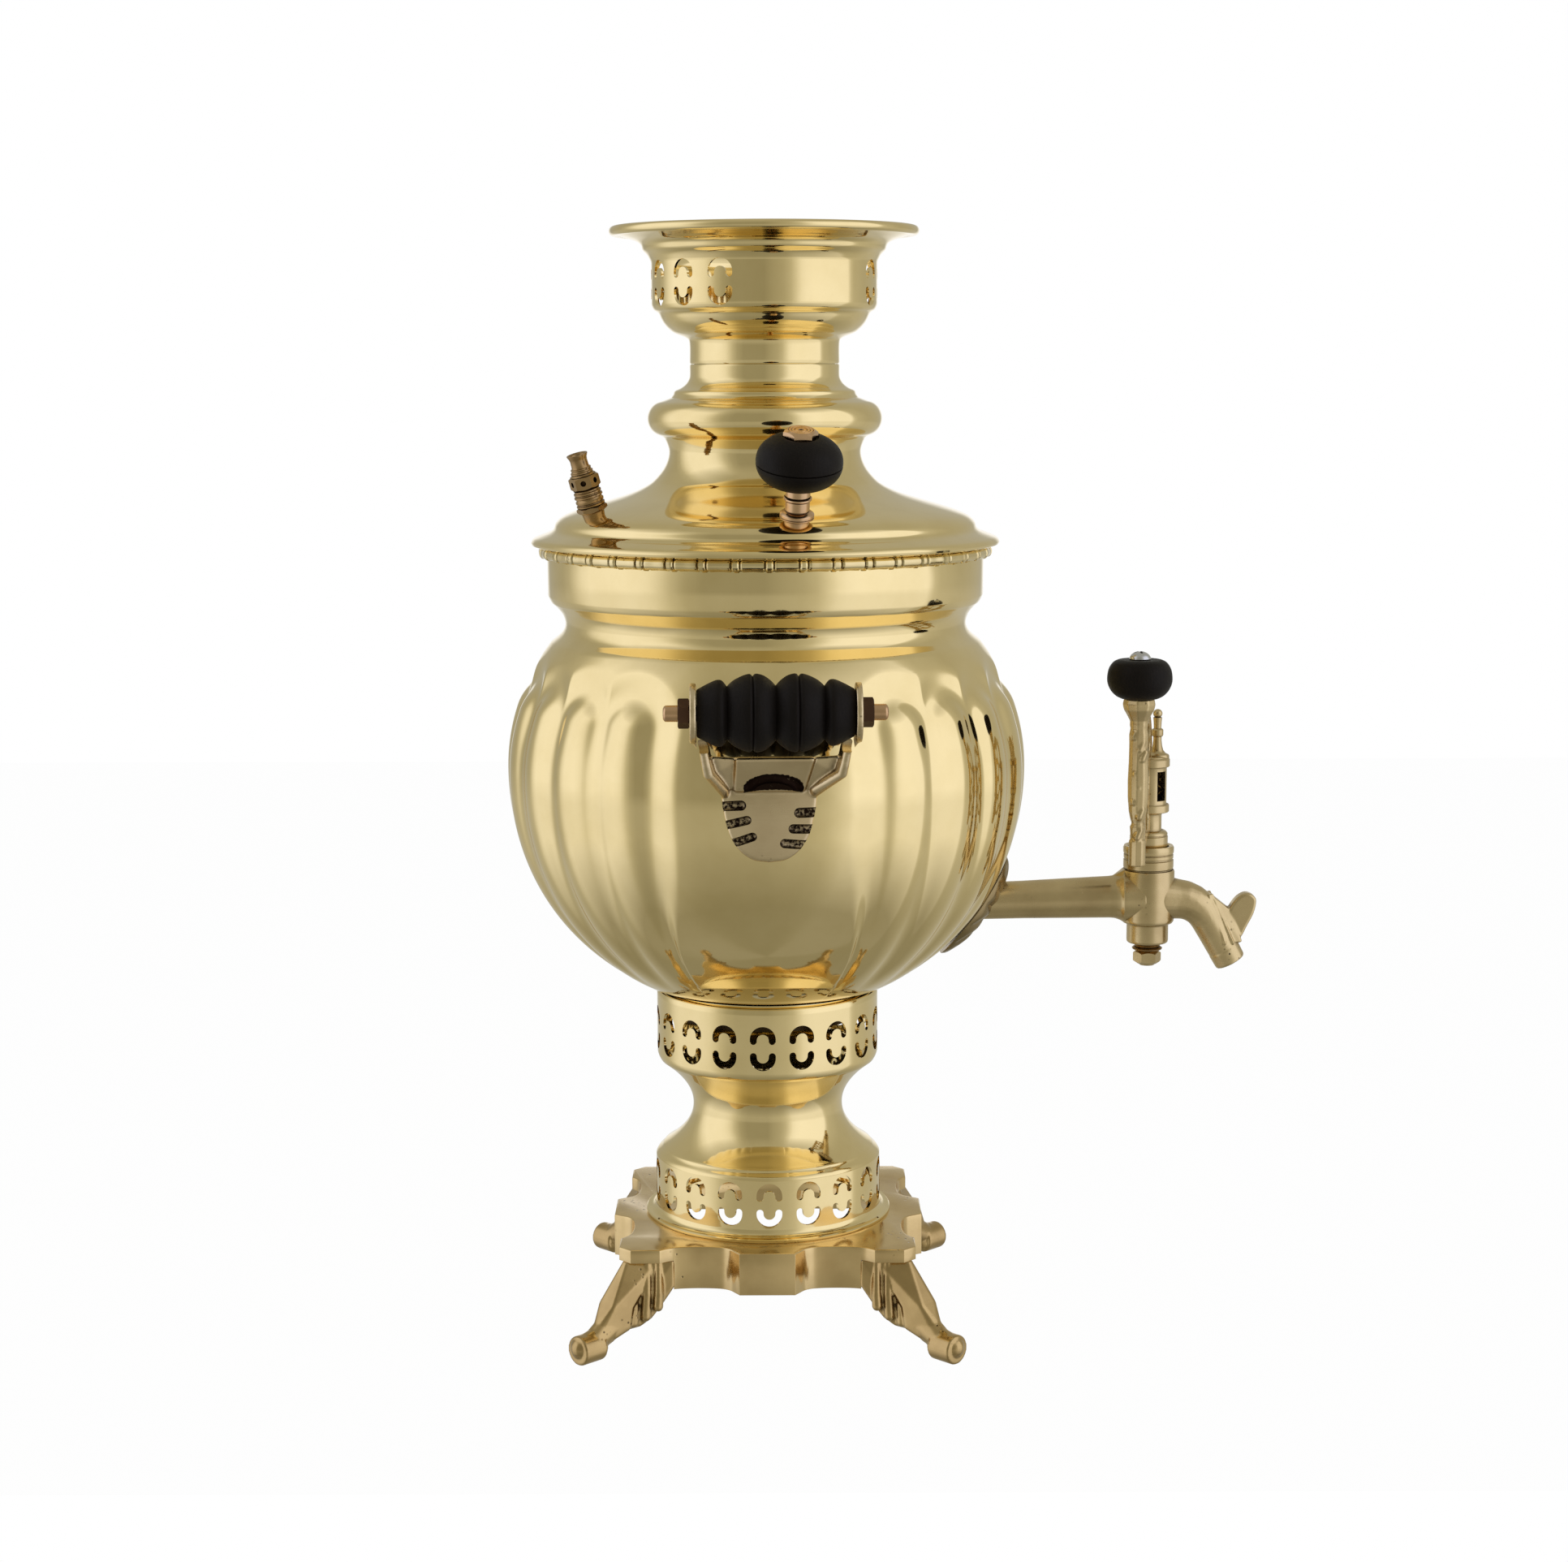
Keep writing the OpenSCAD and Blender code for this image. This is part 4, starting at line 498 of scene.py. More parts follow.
def vesselOutline():
    v = vesselSize
    heights = [146.2 + 2.8 * i for i in range(38)] + [252.0 + 1.25 * i for i in range(33)]
    belly = [(bellyRadius(z), z) for z in heights]
    neck = smoothLine([belly[-1], (v["grooveR"] + 1.6, v["grooveZ"] - 3.8), (v["grooveR"], v["grooveZ"]),
                       (v["grooveR"] + 1.2, v["grooveZ"] + 4.4), (v["grooveR"] + 4.2, v["grooveZ"] + 8),
                       (v["collarR"] - 1.3, v["collarZ"] - 2.8), (v["collarR"], v["collarZ"])], 3)
    outer = belly + neck[1:] + [(v["collarR"], v["mouthZ"] - 0.4)]
    inner = [p for p in inward(outer, v["wall"]) if p[1] > 147]
    thin = inner[::4]
    return ([(46.1, 137.0), (46.1, 140.4), (44.6, 141.0), (44.6, 144.0), (48.6, 144.2), (49.6, 145.1)] + outer
            + [(v["collarR"] - 0.3, v["mouthZ"]), (v["collarR"] - v["wall"], v["mouthZ"])]
            + thin[::-1] + [(47.0, 146.2), (41.1, 146.2), (41.1, 142.6), (43.4, 142.6), (43.4, 140.2), (44.9, 139.4),
                            (44.9, 137.0)])


bm = spin(vesselOutline(), vesselSize["steps"], closed=True)
for vert in bm.verts:
    r, z = hypot(vert.co.x, vert.co.y) / mm, vert.co.z / mm
    if z < vesselSize["lobesLow"] or z > vesselSize["lobesHigh"] or r < vesselSize["footR"]:
        continue
    azimuth = degrees(atan2(vert.co.y, vert.co.x)) + 90
    k = 1 - lobeDrop(azimuth, z) / r
    vert.co.x *= k
    vert.co.y *= k
vessel = finishPiece(makeObject("vesselShell", bm, 40), spunBrass, "urn", "spun_brass", "body_vessel")
print("vessel made:", len(vessel.data.polygons))

# ---------- lid

lidSize = {"rimR": 98.4, "shoulderR": 88.1, "hollowR": 40.2, "torusR": 49.1, "neckR": 31.3,
           "mouth": 332.4, "top": 407.4, "wall": 1.2, "plugR": 90.1, "plugDeep": 7.0}


def lidOutline():
    m, L = lidSize["mouth"], lidSize
    rim = smoothLine([(L["rimR"], m + 1.4), (L["rimR"] - 1, m + 3), (L["rimR"] - 4, m + 4.3), (90.3, m + 5.9),
                      (88.7, m + 7.3), (L["shoulderR"], m + 9.2), (86.6, m + 11), (84, m + 12.7), (79.2, m + 14.6),
                      (72.9, m + 16.6), (65.7, m + 18.7), (58.4, m + 20.9), (53, m + 23), (49, m + 25.1),
                      (46.3, m + 27.2), (42.8, m + 31.3), (40.8, m + 35.4), (L["hollowR"], m + 39.1),
                      (41, m + 42.2), (42.1, m + 44.6)], 3)
    torus = arcPoints(L["torusR"] - 6.9, m + 52.6, 6.9, 7.2, -78, 78, 22)
    neck = smoothLine([(39.2, m + 61.2), (38.2, m + 62.6), (37.6, m + 64.0), (35.0, m + 65.3), (33.0, m + 66.8),
                       (31.8, m + 68.6), (L["neckR"], m + 70.4), (L["neckR"], L["top"] - 0.5)], 4)
    return ([(L["rimR"] - 1.1, m + 0.15), (L["rimR"] - 0.3, m + 0.6)] + rim + torus + neck
            + [(L["neckR"] - 0.3, L["top"])])


outer = lidOutline()
inner = [p for p in inward(outer, lidSize["wall"]) if p[1] > lidSize["mouth"] + 6 and p[0] < 86]
# the plug that sits in the vessel's mouth
plugR, plugIn, mouth = lidSize["plugR"], lidSize["plugR"] - 1.2, lidSize["mouth"]
loop = (outer + [(lidSize["neckR"] - 1.2, lidSize["top"])] + inner[::-2]
        + [(plugIn, mouth + 4), (plugIn, mouth - lidSize["plugDeep"]), (plugR, mouth - lidSize["plugDeep"]),
           (plugR, mouth), (lidSize["rimR"] - 1.6, mouth)])
finishPiece(makeObject("lidShell", spin(loop, 288, closed=True), 32), spunBrass, "lid", "spun_brass", "lid")
print("lid made")

# ---------- piercings

pierce = {"outerR": 5.4, "outerY": 4.0, "innerR": 2.5, "innerY": 3.6, "endY": 3.2}


def halfMoon():
    # a thick arch with straight sides and round ends
    p = pierce
    middle, half = (p["outerR"] + p["innerR"]) / 2, (p["outerR"] - p["innerR"]) / 2
    return (arcPoints(0, p["outerY"], p["outerR"], p["outerR"], 0, 180, 20)
            + arcPoints(-middle, p["endY"], half, half, 180, 360, 10)
            + arcPoints(0, p["innerY"], p["innerR"], p["innerR"], 180, 0, 12)
            + arcPoints(middle, p["endY"], half, half, 180, 360, 10))


def halfMoonCutters(radius, places):
    # places: (azimuth in degrees, height in mm); each cutter runs radially through the wall
    parts = []
    for azimuth, height in places:
        for side in (1, -1):
            cutter = plate(halfMoon(), -5, 5)
            turn = (Matrix.Rotation(radians(azimuth), 4, "Z")
                    @ Matrix.Translation((radius * mm, 0, height * mm))
                    @ Matrix.Rotation(radians(90), 4, "Y") @ Matrix.Rotation(radians(90), 4, "Z"))
            if side < 0:
                turn = turn @ Matrix.Rotation(pi, 4, "Z")
            parts.append(turnInto(cutter, turn))
    whole = merge(parts)
    bmesh.ops.recalc_face_normals(whole, faces=whole.faces)
    return whole


# ---------- crown

crownSize = {"low": 407.5, "neckR": 31.3, "cupR": 47.0, "rimR": 64.4, "top": 463.9, "bead": 2.0, "wall": 1.2}


def crownOutline():
    c = crownSize
    foot = smoothLine([(c["neckR"], 408.1), (c["neckR"], 416.0), (32.5, 418.2), (37.4, 420.2), (40.05, 422.2),
                       (41.8, 424.2), (42.95, 426.2), (44.0, 428.4), (46.0, 429.8), (46.9, 431.6)], 4)
    cup = [(c["cupR"], z) for z in [432.2 + (448.8 - 432.2) * i / 10 for i in range(11)]]
    flare = smoothLine([(c["cupR"] + 0.1, 449.5), (48.5, 452.2), (50.35, 454.1), (51.1, 456.3), (53.0, 457.8),
                        (57.0, 459.2), (c["rimR"] - 3.6, 460.2)], 4)
    bead = arcPoints(c["rimR"] - c["bead"], c["top"] - c["bead"], c["bead"], c["bead"], -100, 190, 18)
    return [(c["neckR"] - 0.35, c["low"])] + foot + cup + flare, bead


outer, bead = crownOutline()
inner = inward(outer[2:], crownSize["wall"])
loop = (outer + bead + [(crownSize["rimR"] - 4.2, 461.3)] + inner[::-1][1:]
        + [(crownSize["neckR"] - 1.2, crownSize["low"])])
crown = makeObject("crownShell", spin(loop, 256, closed=True), 32)
crownHoles = {"step": 22.25, "count": 5, "middle": 23.5, "height": 440.3}
places = [(crownHoles["middle"] + 180 * g + crownHoles["step"] * (k - 2), crownHoles["height"])
          for g in (0, 1) for k in range(crownHoles["count"])]
cutAway(crown, halfMoonCutters(crownSize["cupR"], places), 32)
finishPiece(crown, spunBrass, "crown", "spun_brass", "crown")
print("crown made")

# ---------- pedestal

pedestalSize = {"plate": 43.8, "flangeR": 52.9, "flange": 1.5, "baseR": 48.4, "topR": 47.5, "waistR": 32.2,
                "waistZ": 91.3, "ringLow": 112.4, "top": 143.5, "wall": 1.2}


def pedestalOutline():
    p = pedestalSize
    cove = arcPoints(p["baseR"] + 3.0, p["plate"] + p["flange"] + 3.0, 3.0, 3.0, 268, 180, 8)
    wall = [(p["baseR"] + 0.15 * sin(pi * i / 10), 48.9 + (69.2 - 48.9) * i / 10) for i in range(1, 11)]
    edge = smoothLine([(p["baseR"] - 0.1, 69.3), (p["baseR"] - 0.9, 70.6), (p["baseR"] - 2.4, 71.9), (45.2, 73.0)], 3)
    lower = [(p["waistR"] + 13.2 * ((p["waistZ"] - z) / 18.6) ** 2.15, z)
             for z in [73.6 + (p["waistZ"] - 73.6) * i / 18 for i in range(19)]]
    upper = [(p["waistR"] + 14.1 * ((z - p["waistZ"]) / 20.4) ** 2, z)
             for z in [p["waistZ"] + (111.7 - p["waistZ"]) * i / 18 for i in range(1, 19)]]
    ring = [(p["topR"] - 0.5, p["ringLow"] + 0.6), (p["topR"], p["ringLow"] + 2.2)]
    high = [(p["topR"], z) for z in [115.5 + (141.8 - 115.5) * i / 12 for i in range(13)]]
    return ([(p["flangeR"] - 0.2, p["plate"] + 0.05), (p["flangeR"], p["plate"] + 0.5),
             (p["flangeR"], p["plate"] + 1.1), (p["flangeR"] - 0.5, p["plate"] + p["flange"])]
            + cove + wall + edge + lower + upper + ring + high + [(p["topR"] - 0.3, p["top"] - 1.2)])


outer = pedestalOutline()
inner = [p for p in inward(outer, pedestalSize["wall"]) if p[1] > 47.4]
loop = outer + [(46.3, pedestalSize["top"] - 1.2)] + inner[::-1] + [(47.2, 45.3), (44.6, 45.3), (44.6, 43.85)]
pedestal = makeObject("pedestalShell", spin(loop, 256, closed=True), 32)
rings = {"count": 18, "lowZ": 58.8, "highZ": 125.8, "lowTurn": -89, "highTurn": -92}
cutters = []
for ring, radius in (("low", pedestalSize["baseR"]), ("high", pedestalSize["topR"])):
    places = [(rings[ring + "Turn"] + 360 / rings["count"] * k, rings[ring + "Z"]) for k in range(rings["count"])]
    cutters.append(halfMoonCutters(radius, places))
cutAway(pedestal, merge(cutters), 32)
finishPiece(pedestal, spunBrass, "urn", "spun_brass", "pedestal")
print("pedestal made")

# ---------- cast pieces: rounded hulls that are skinned into one smooth casting

def ballHull(*balls, fine=16):
    # the tight skin round some balls, each (x, y, z, radius) in mm
    bm = bmesh.new()
    for x, y, z, r in balls:
        bmesh.ops.create_uvsphere(bm, u_segments=fine, v_segments=fine // 2, radius=r * mm,
                                  matrix=Matrix.Translation((x * mm, y * mm, z * mm)))
    bmesh.ops.delete(bm, geom=list(bm.edges) + list(bm.faces), context="EDGES_FACES")
    hull = bmesh.ops.convex_hull(bm, input=bm.verts)
    spare = {v for v in hull["geom_interior"] + hull["geom_unused"] if isinstance(v, bmesh.types.BMVert)}
    bmesh.ops.delete(bm, geom=list(spare), context="VERTS")
    bmesh.ops.recalc_face_normals(bm, faces=bm.faces)
    return bm


def ballChain(*balls, fine=16):
    return [ballHull(a, b, fine=fine) for a, b in zip(balls, balls[1:])]


def rodPiece(radius, low, high, place, segments=48, bevel=0.0):
    # a plain round bar from low to high along the place's Z axis
    return turnInto(plate([(radius * cos(2 * pi * i / segments), radius * sin(2 * pi * i / segments))
                           for i in range(segments)], low, high, bevel), place)


def skin(obj, voxel, smoothing):
    shape = obj.modifiers.new("skin", "REMESH")
    shape.mode, shape.voxel_size, shape.adaptivity = "VOXEL", voxel * mm, 0.0
    soften = obj.modifiers.new("soften", "SMOOTH")
    soften.factor, soften.iterations = 0.5, smoothing
    return applyModifiers(obj, 60)


# ---------- foot plate

plateSize = {"top": 43.8, "deck": 5.6, "low": 25.9, "wall": 3.6, "facet": 66.4, "facetHalf": 11.6, "scallop": 57.1,
             "corner": 61.8, "block": 17.5, "chamfer": 5.0, "bore": 44.0, "legGap": 39.1, "round": 1.3, "soft": 0.35}


def plateOutline(inset):
    p = plateSize
    half = smoothLine([(p["facetHalf"] + 0.2, p["facet"] - 0.5), (13.2, 63.8), (15.6, 60.2), (19.6, 57.9),
                       (27.0, p["scallop"]), (34.5, 57.4), (40.2, 58.7),
                       (p["corner"] - p["block"] - 0.5, p["corner"] - 0.7)], 4)
    half = [(p["facetHalf"], p["facet"])] + half + [(p["corner"] - p["block"] + 0.4, p["corner"]),
                                                   (p["corner"] - p["chamfer"], p["corner"])]
    side = [(-x, inset - y) for x, y in half[::-1]] + [(x, inset - y) for x, y in half]
    if inset > 0:
        side = [(max(-p["corner"] + inset, min(p["corner"] - inset, x)), y) for x, y in side][1:-1]
    return [(x * cos(a) - y * sin(a), x * sin(a) + y * cos(a)) for a in (0, pi / 2, pi, 3 * pi / 2) for x, y in side]


bm = plate(plateOutline(0), plateSize["low"], plateSize["top"])
topRim = [e for e in bm.edges if min(v.co.z for v in e.verts) > (plateSize["top"] - 0.01) * mm]
bmesh.ops.bevel(bm, geom=topRim, offset=plateSize["round"] * mm, segments=4, profile=0.5, affect="EDGES",
                material=-1, clamp_overlap=True)
footPlate = makeObject("footPlate", bm, 40)
deckLow, gap = plateSize["top"] - plateSize["deck"], plateSize["legGap"]
hollow = [plate(plateOutline(plateSize["wall"]), 20, deckLow)]
for quarter in range(4):
    block = plate([(gap, gap), (80, gap), (80, 80), (gap, 80)], 20, deckLow)
    hollow.append(turnInto(block, Matrix.Rotation(quarter * pi / 2, 4, "Z")))
hollow.append(rodPiece(plateSize["bore"], 30, 50, Matrix.Identity(4), 96))
for cutter in hollow:
    cutAway(footPlate, cutter, 40)
softEdge = footPlate.modifiers.new("soft edges", "BEVEL")
softEdge.width, softEdge.segments = plateSize["soft"] * mm, 2
softEdge.limit_method, softEdge.angle_limit = "ANGLE", radians(35)
applyModifiers(footPlate, 40)
finishPiece(footPlate, castBrass, "urn", "cast_brass", "foot_plate")

# ---------- legs: a fluted skirt on both sides, a two-faced thigh, and a rolled foot

legSize = {"top": 38.2, "voxel": 0.5, "smoothing": 3}


def fluteParts():
    # the web between the folds, then three folds that fan out downwards
    parts = [ballHull((39.9, 57.8, 37.2, 1.2), (39.9, 58.2, 27.6, 1.2), (45.2, 59.0, 19.8, 1.2),
                      (49.2, 59.8, 14.8, 1.2), (53.6, 60.6, 11.8, 1.2), (58.0, 61.6, 11.0, 1.3),
                      (57.5, 57.5, 37.2, 1.2), (44.0, 51.0, 37.2, 1.2), (47.0, 54.0, 24.0, 1.2))]
    for top, foot, low, r in ((45.4, 45.6, 19.4, 2.2), (50.0, 50.8, 15.2, 2.3), (54.6, 56.0, 12.6, 2.4)):
        parts.append(ballHull((top, 58.0, 37.2, 1.6), ((top + foot) / 2 - 0.2, 61.2, 25.0, 2.1),
                              (foot, 62.0, low + 0.4, r)))
    return parts


def legParts():
    parts = fluteParts()
    flip = Matrix(((0, 1, 0, 0), (1, 0, 0, 0), (0, 0, 1, 0), (0, 0, 0, 1)))
    parts += [turnInto(part, flip) for part in fluteParts()]
    # thigh and shin
    parts.append(ballHull((46, 56.5, 37.4, 1.4), (58.4, 59.0, 37.4, 1.4), (59.0, 58.4, 37.4, 1.4),
                          (56.5, 46, 37.4, 1.4), (57.2, 64.5, 20.5, 1.6), (63.6, 68.2, 21.5, 1.8),
                          (68.2, 63.6, 21.5, 1.8), (64.5, 57.2, 20.5, 1.6), (52, 52, 28, 2.0)))
    parts.append(ballHull((57.2, 64.5, 20.5, 1.6), (63.6, 68.2, 21.5, 1.8), (68.2, 63.6, 21.5, 1.8),
                          (64.5, 57.2, 20.5, 1.6), (58.6, 64.6, 12.2, 2.0), (64.6, 58.6, 12.2, 2.0),
                          (64.0, 67.2, 9.6, 2.2), (67.2, 64.0, 9.6, 2.2), (68.6, 68.6, 13.2, 3.6)))
    parts.append(ballHull((63.4, 63.4, 14.0, 5.0), (68.3, 68.3, 12.6, 4.2), (71.4, 71.4, 8.6, 4.9),
                          (66.5, 66.5, 9.0, 3.6)))
    # the rolled foot, its axis across the leg
    roll = (Matrix.Translation((74.0 * mm, 74.0 * mm, 6.25 * mm)) @ Matrix.Rotation(radians(-45), 4, "Z")
            @ Matrix.Rotation(pi / 2, 4, "X"))
    parts.append(rodPiece(6.2, -5.9, 5.9, roll, 40, 0.9))
    parts.append(ballHull((70.8, 70.8, 5.2, 4.9), (76.6, 76.6, 7.2, 4.6), (72.5, 72.5, 9.4, 4.0)))
    return parts


def makeLeg(name, node, sideX, sideY):
    bm = turnInto(merge(legParts()), Matrix.Diagonal((sideX, sideY, 1, 1)))
    bmesh.ops.recalc_face_normals(bm, faces=bm.faces)
    leg = skin(makeObject(name, bm), legSize["voxel"], legSize["smoothing"])
    for vert in leg.data.vertices:
        vert.co.z = min(max(vert.co.z, 0.0), legSize["top"] * mm)
    finishPiece(leg, legBrass, "urn", "cast_brass", node)


for depth, sideY in (("Front", -1), ("Back", 1)):
    for side, sideX in (("Left", -1), ("Right", 1)):
        makeLeg("leg" + depth + side, f"leg_{depth}_{side}".lower(), sideX, sideY)
print("foot plate and legs made")

# ---------- handles

handle = {"turn": 2.0, "reach": 130.0, "z": 276.8, "half": 30.0, "rod": 3.2, "rodHalf": 42.8, "earR": 11.5, "earT": 2.6,
          "shieldX": -2.0, "shieldHalf": 19.0, "shieldTop": 247.3, "shieldHigh": 31.4, "shieldT": 3.6,
          "shieldRound": 1.3, "gap": 0.15}
# each slot runs from its round inner end to past the shield's edge: x, z, x, z, radius
slots = [(-13.0, 238.7, -24.0, 238.1, 2.0), (-10.8, 232.9, -23.0, 229.9, 1.8), (-8.7, 226.3, -22.0, 221.6, 1.8),
         (9.5, 235.7, 20.5, 235.9, 2.0), (7.2, 229.4, 19.5, 229.0, 1.9), (3.9, 223.6, 17.0, 222.4, 1.9)]


def alongX(place, x, y, z):
    # a place whose Z axis points along +X
    return place @ Matrix.Translation((x * mm, y * mm, z * mm)) @ Matrix.Rotation(pi / 2, 4, "Y")


def gripOutline():
    big = smoothLine([(10.4, 0.0), (12.4, 1.9), (14.2, 4.5), (14.9, 7.0), (14.7, 8.1)], 5)
    second = smoothLine([(13.9, 8.7), (14.75, 9.6), (14.7, 10.9), (13.9, 13.2), (12.3, 16.2), (10.2, 18.5)], 5)
    end = smoothLine([(10.2, 18.5), (12.2, 20.1), (12.7, 21.6), (12.3, 23.4), (10.9, 26.4), (9.5, 29.0)], 5)[1:]
    half = big + second + end + [(9.1, 29.75), (8.6, 30.0)]
    return [(r, -x) for r, x in half[::-1]] + [(r, x) for r, x in half[1:]]


def shieldPart():
    h = handle
    w, top = h["shieldHalf"], h["shieldTop"]
    right = smoothLine([(w, top), (w - 0.2, top - 3), (w - 0.8, top - 9), (w - 1.7, top - 14), (w - 3.0, top - 19),
                        (w - 4.7, top - 23), (w - 6.9, top - 26.2), (w - 9.8, top - 28.9), (w - 13.6, top - 30.8),
                        (0, top - h["shieldHigh"])], 4)
    outline = right + [(-x, z) for x, z in right[::-1][1:]]
    bm = plate([(x + h["shieldX"], z) for x, z in outline], 0, h["shieldT"])
    rim = [e for e in bm.edges if min(v.co.z for v in e.verts) > (h["shieldT"] - 0.01) * mm]
    bmesh.ops.bevel(bm, geom=rim, offset=h["shieldRound"] * mm, segments=3, profile=0.5, affect="EDGES",
                    material=-1, clamp_overlap=True)
    bm = takeMesh(skin(makeObject("spare", bm), 0.8, 1))
    for vert in bm.verts:
        x, z, out = vert.co.x / mm, vert.co.y / mm, vert.co.z / mm
        radius = bellyRadius(z) + h["gap"] + out
        vert.co = (x * mm, -sqrt(radius ** 2 - x ** 2) * mm, z * mm)
    bmesh.ops.recalc_face_normals(bm, faces=bm.faces)
    return bm


def bracketParts():
    h = handle
    parts = [shieldPart()]
    for s in (1, -1):
        ear = alongX(Matrix.Identity(4), s * (h["half"] + 0.1 + h["earT"] / 2), -h["reach"], h["z"])
        parts.append(rodPiece(h["earR"], -h["earT"] / 2, h["earT"] / 2, ear, 40, 0.5))
        x0 = h["shieldX"]
        # the arm, from the ear down to the shield's corner
        joints = [((31.4, -134.0, 268.0, 1.3), (31.4, -125.0, 269.0, 1.3)),
                  ((27.4, -127.5, 262.0, 1.7), (26.6, -118.0, 262.5, 1.5)),
                  ((26.4, -125.5, 256.4, 1.9), (25.6, -117.0, 256.5, 1.6)),
                  ((25.6, -123.4, 252.6, 2.1), (24.4, -116.6, 252.0, 1.8)),
                  ((x0 * s + 17.8, -113.8, 245.2, 2.0), (x0 * s + 17.0, -111.4, 242.6, 1.6))]
        for upper, lower in zip(joints, joints[1:]):
            parts.append(ballHull(*[(s * x, y, z, r) for x, y, z, r in upper + lower]))
        # the recessed panel between the arm and the web
        parts.append(ballHull((s * 13.6, -118.2, 257.2, 1.0), (s * 25.0, -118.8, 258.0, 1.0),
                              (s * 24.2, -117.6, 252.2, 1.0), (x0 + s * 17.0, -112.6, 246.2, 1.2),
                              (x0 + s * 12.0, -112.6, 246.2, 1.2)))
    parts.append(ballHull(*[(s * 14.2, y, 257.6, 1.1) for s in (1, -1) for y in (-121.4, -117.8)],
                          *[(x0 + s * 12.6, y, 245.6, 1.5) for s in (1, -1) for y in (-113.4, -110.2)]))
    return parts


def bracketCutters():
    h = handle
    middle = alongX(Matrix.Identity(4), 0, -h["reach"], h["z"])
    cutters = [rodPiece(h["rod"] + 0.1, -60, 60, middle, 32),
               rodPiece(15.6, -h["half"] - 0.08, h["half"] + 0.08, middle, 64)]
    for x1, z1, x2, z2, r in slots:
        ends = []
        for x, z in ((x1, z1), (x2, z2)):
            skinY = -sqrt((bellyRadius(z) + h["shieldT"] + 0.2) ** 2 - min(abs(x), 19) ** 2)
            ends += [(x, skinY, z, r), (x, skinY - 4, z, r)]
        cutters.append(ballHull(*ends, fine=24))
    arch = [(-9.6, 245.8), (-7.6, 248.0), (-4.0, 249.4), (0, 249.7), (4.0, 249.2), (7.6, 247.8), (9.6, 245.6)]
    line = [(x - 0.4, -115.6 - (z - 246.0) * 0.62, z, 2.3) for x, z in arch]
    groove = skin(makeObject("spare", merge(ballChain(*line, fine=12))), 0.4, 1)
    return cutters + [takeMesh(groove)]


def markRecessShade(obj):
    # painted shade: marks the slots' floors and the hollow over the shield to be darkened nearly to black
    h = handle
    marks = obj.data.attributes.new("recessShade", "FLOAT", "POINT")
    for vert in obj.data.vertices:
        x, y, z = (c / mm for c in vert.co)
        value = 0.0
        across = (x + 0.4) / 11.6
        if abs(across) < 1 and y < -112:
            bow = 1 - across * across
            edge = min(z - 243.4 - 1.4 * bow, 246.6 + 5.6 * sqrt(bow) - z)
            value = 0.8 * smoothStep(edge + 0.3)
        depth = bellyRadius(z) + h["gap"] + h["shieldT"] - hypot(x, y)
        for x1, z1, x2, z2, r in slots:
            t = max(0.0, min(1.0, (x - x1) / (x2 - x1)))
            if depth > 0.25 and y < 0 and hypot(x - x1 - t * (x2 - x1), z - z1 - t * (z2 - z1)) < r + 0.1:
                value = 0.56
        marks.data[vert.index].value = value


def makeHandle(side, back):
    h = handle
    place = Matrix.Rotation(radians(h["turn"] + 180 * back), 4, "Z")
    bracket = skin(makeObject("bracket" + side, merge(bracketParts())), 0.5, 2)
    for cutter in bracketCutters():
        cutAway(bracket, cutter, 50)
    markRecessShade(bracket)
    bracket.data.transform(place)
    finishPiece(bracket, bracketBrass, "urn", "pale_cast_brass", "handle_bracket_" + side.lower())
    middle = alongX(place, 0, -h["reach"], h["z"])
    loop = [(h["rod"] + 0.1, -h["half"])] + gripOutline() + [(h["rod"] + 0.1, h["half"])]
    grip = makeObject("grip" + side, turnInto(spin(loop, 160, closed=True), middle), 38)
    finishPiece(grip, gripWood, "urn", "black_wood", "handle_grip_" + side.lower())
    ridges = [(h["rod"] - 0.10 * (k % 2), h["rodHalf"] - 1.2 - 0.4 * k) for k in range(20)]
    end = [(0, h["rodHalf"]), (h["rod"] - 1.2, h["rodHalf"] - 0.05), (h["rod"] - 0.4, h["rodHalf"] - 0.5)] + ridges
    line = [(r, -x) for r, x in end] + [(r, x) for r, x in end[::-1]]
    rod = makeObject("rod" + side, turnInto(spin(line, 48), middle), 50)
    finishPiece(rod, turnedBrass, "urn", "turned_brass", "handle_rod_" + side.lower())
    nuts = []
    for s in (1, -1):
        nutPlace = alongX(place, s * (h["half"] + 0.15 + h["earT"] + 2.2), -h["reach"], h["z"])
        nuts.append(nutPart(10.0, 4.4, h["rod"] + 0.1, nutPlace))
    nuts = makeObject("handleNuts" + side, merge(nuts), 30)
    finishPiece(nuts, darkNut, "urn", "dark_bronze", "handle_nuts_" + side.lower())


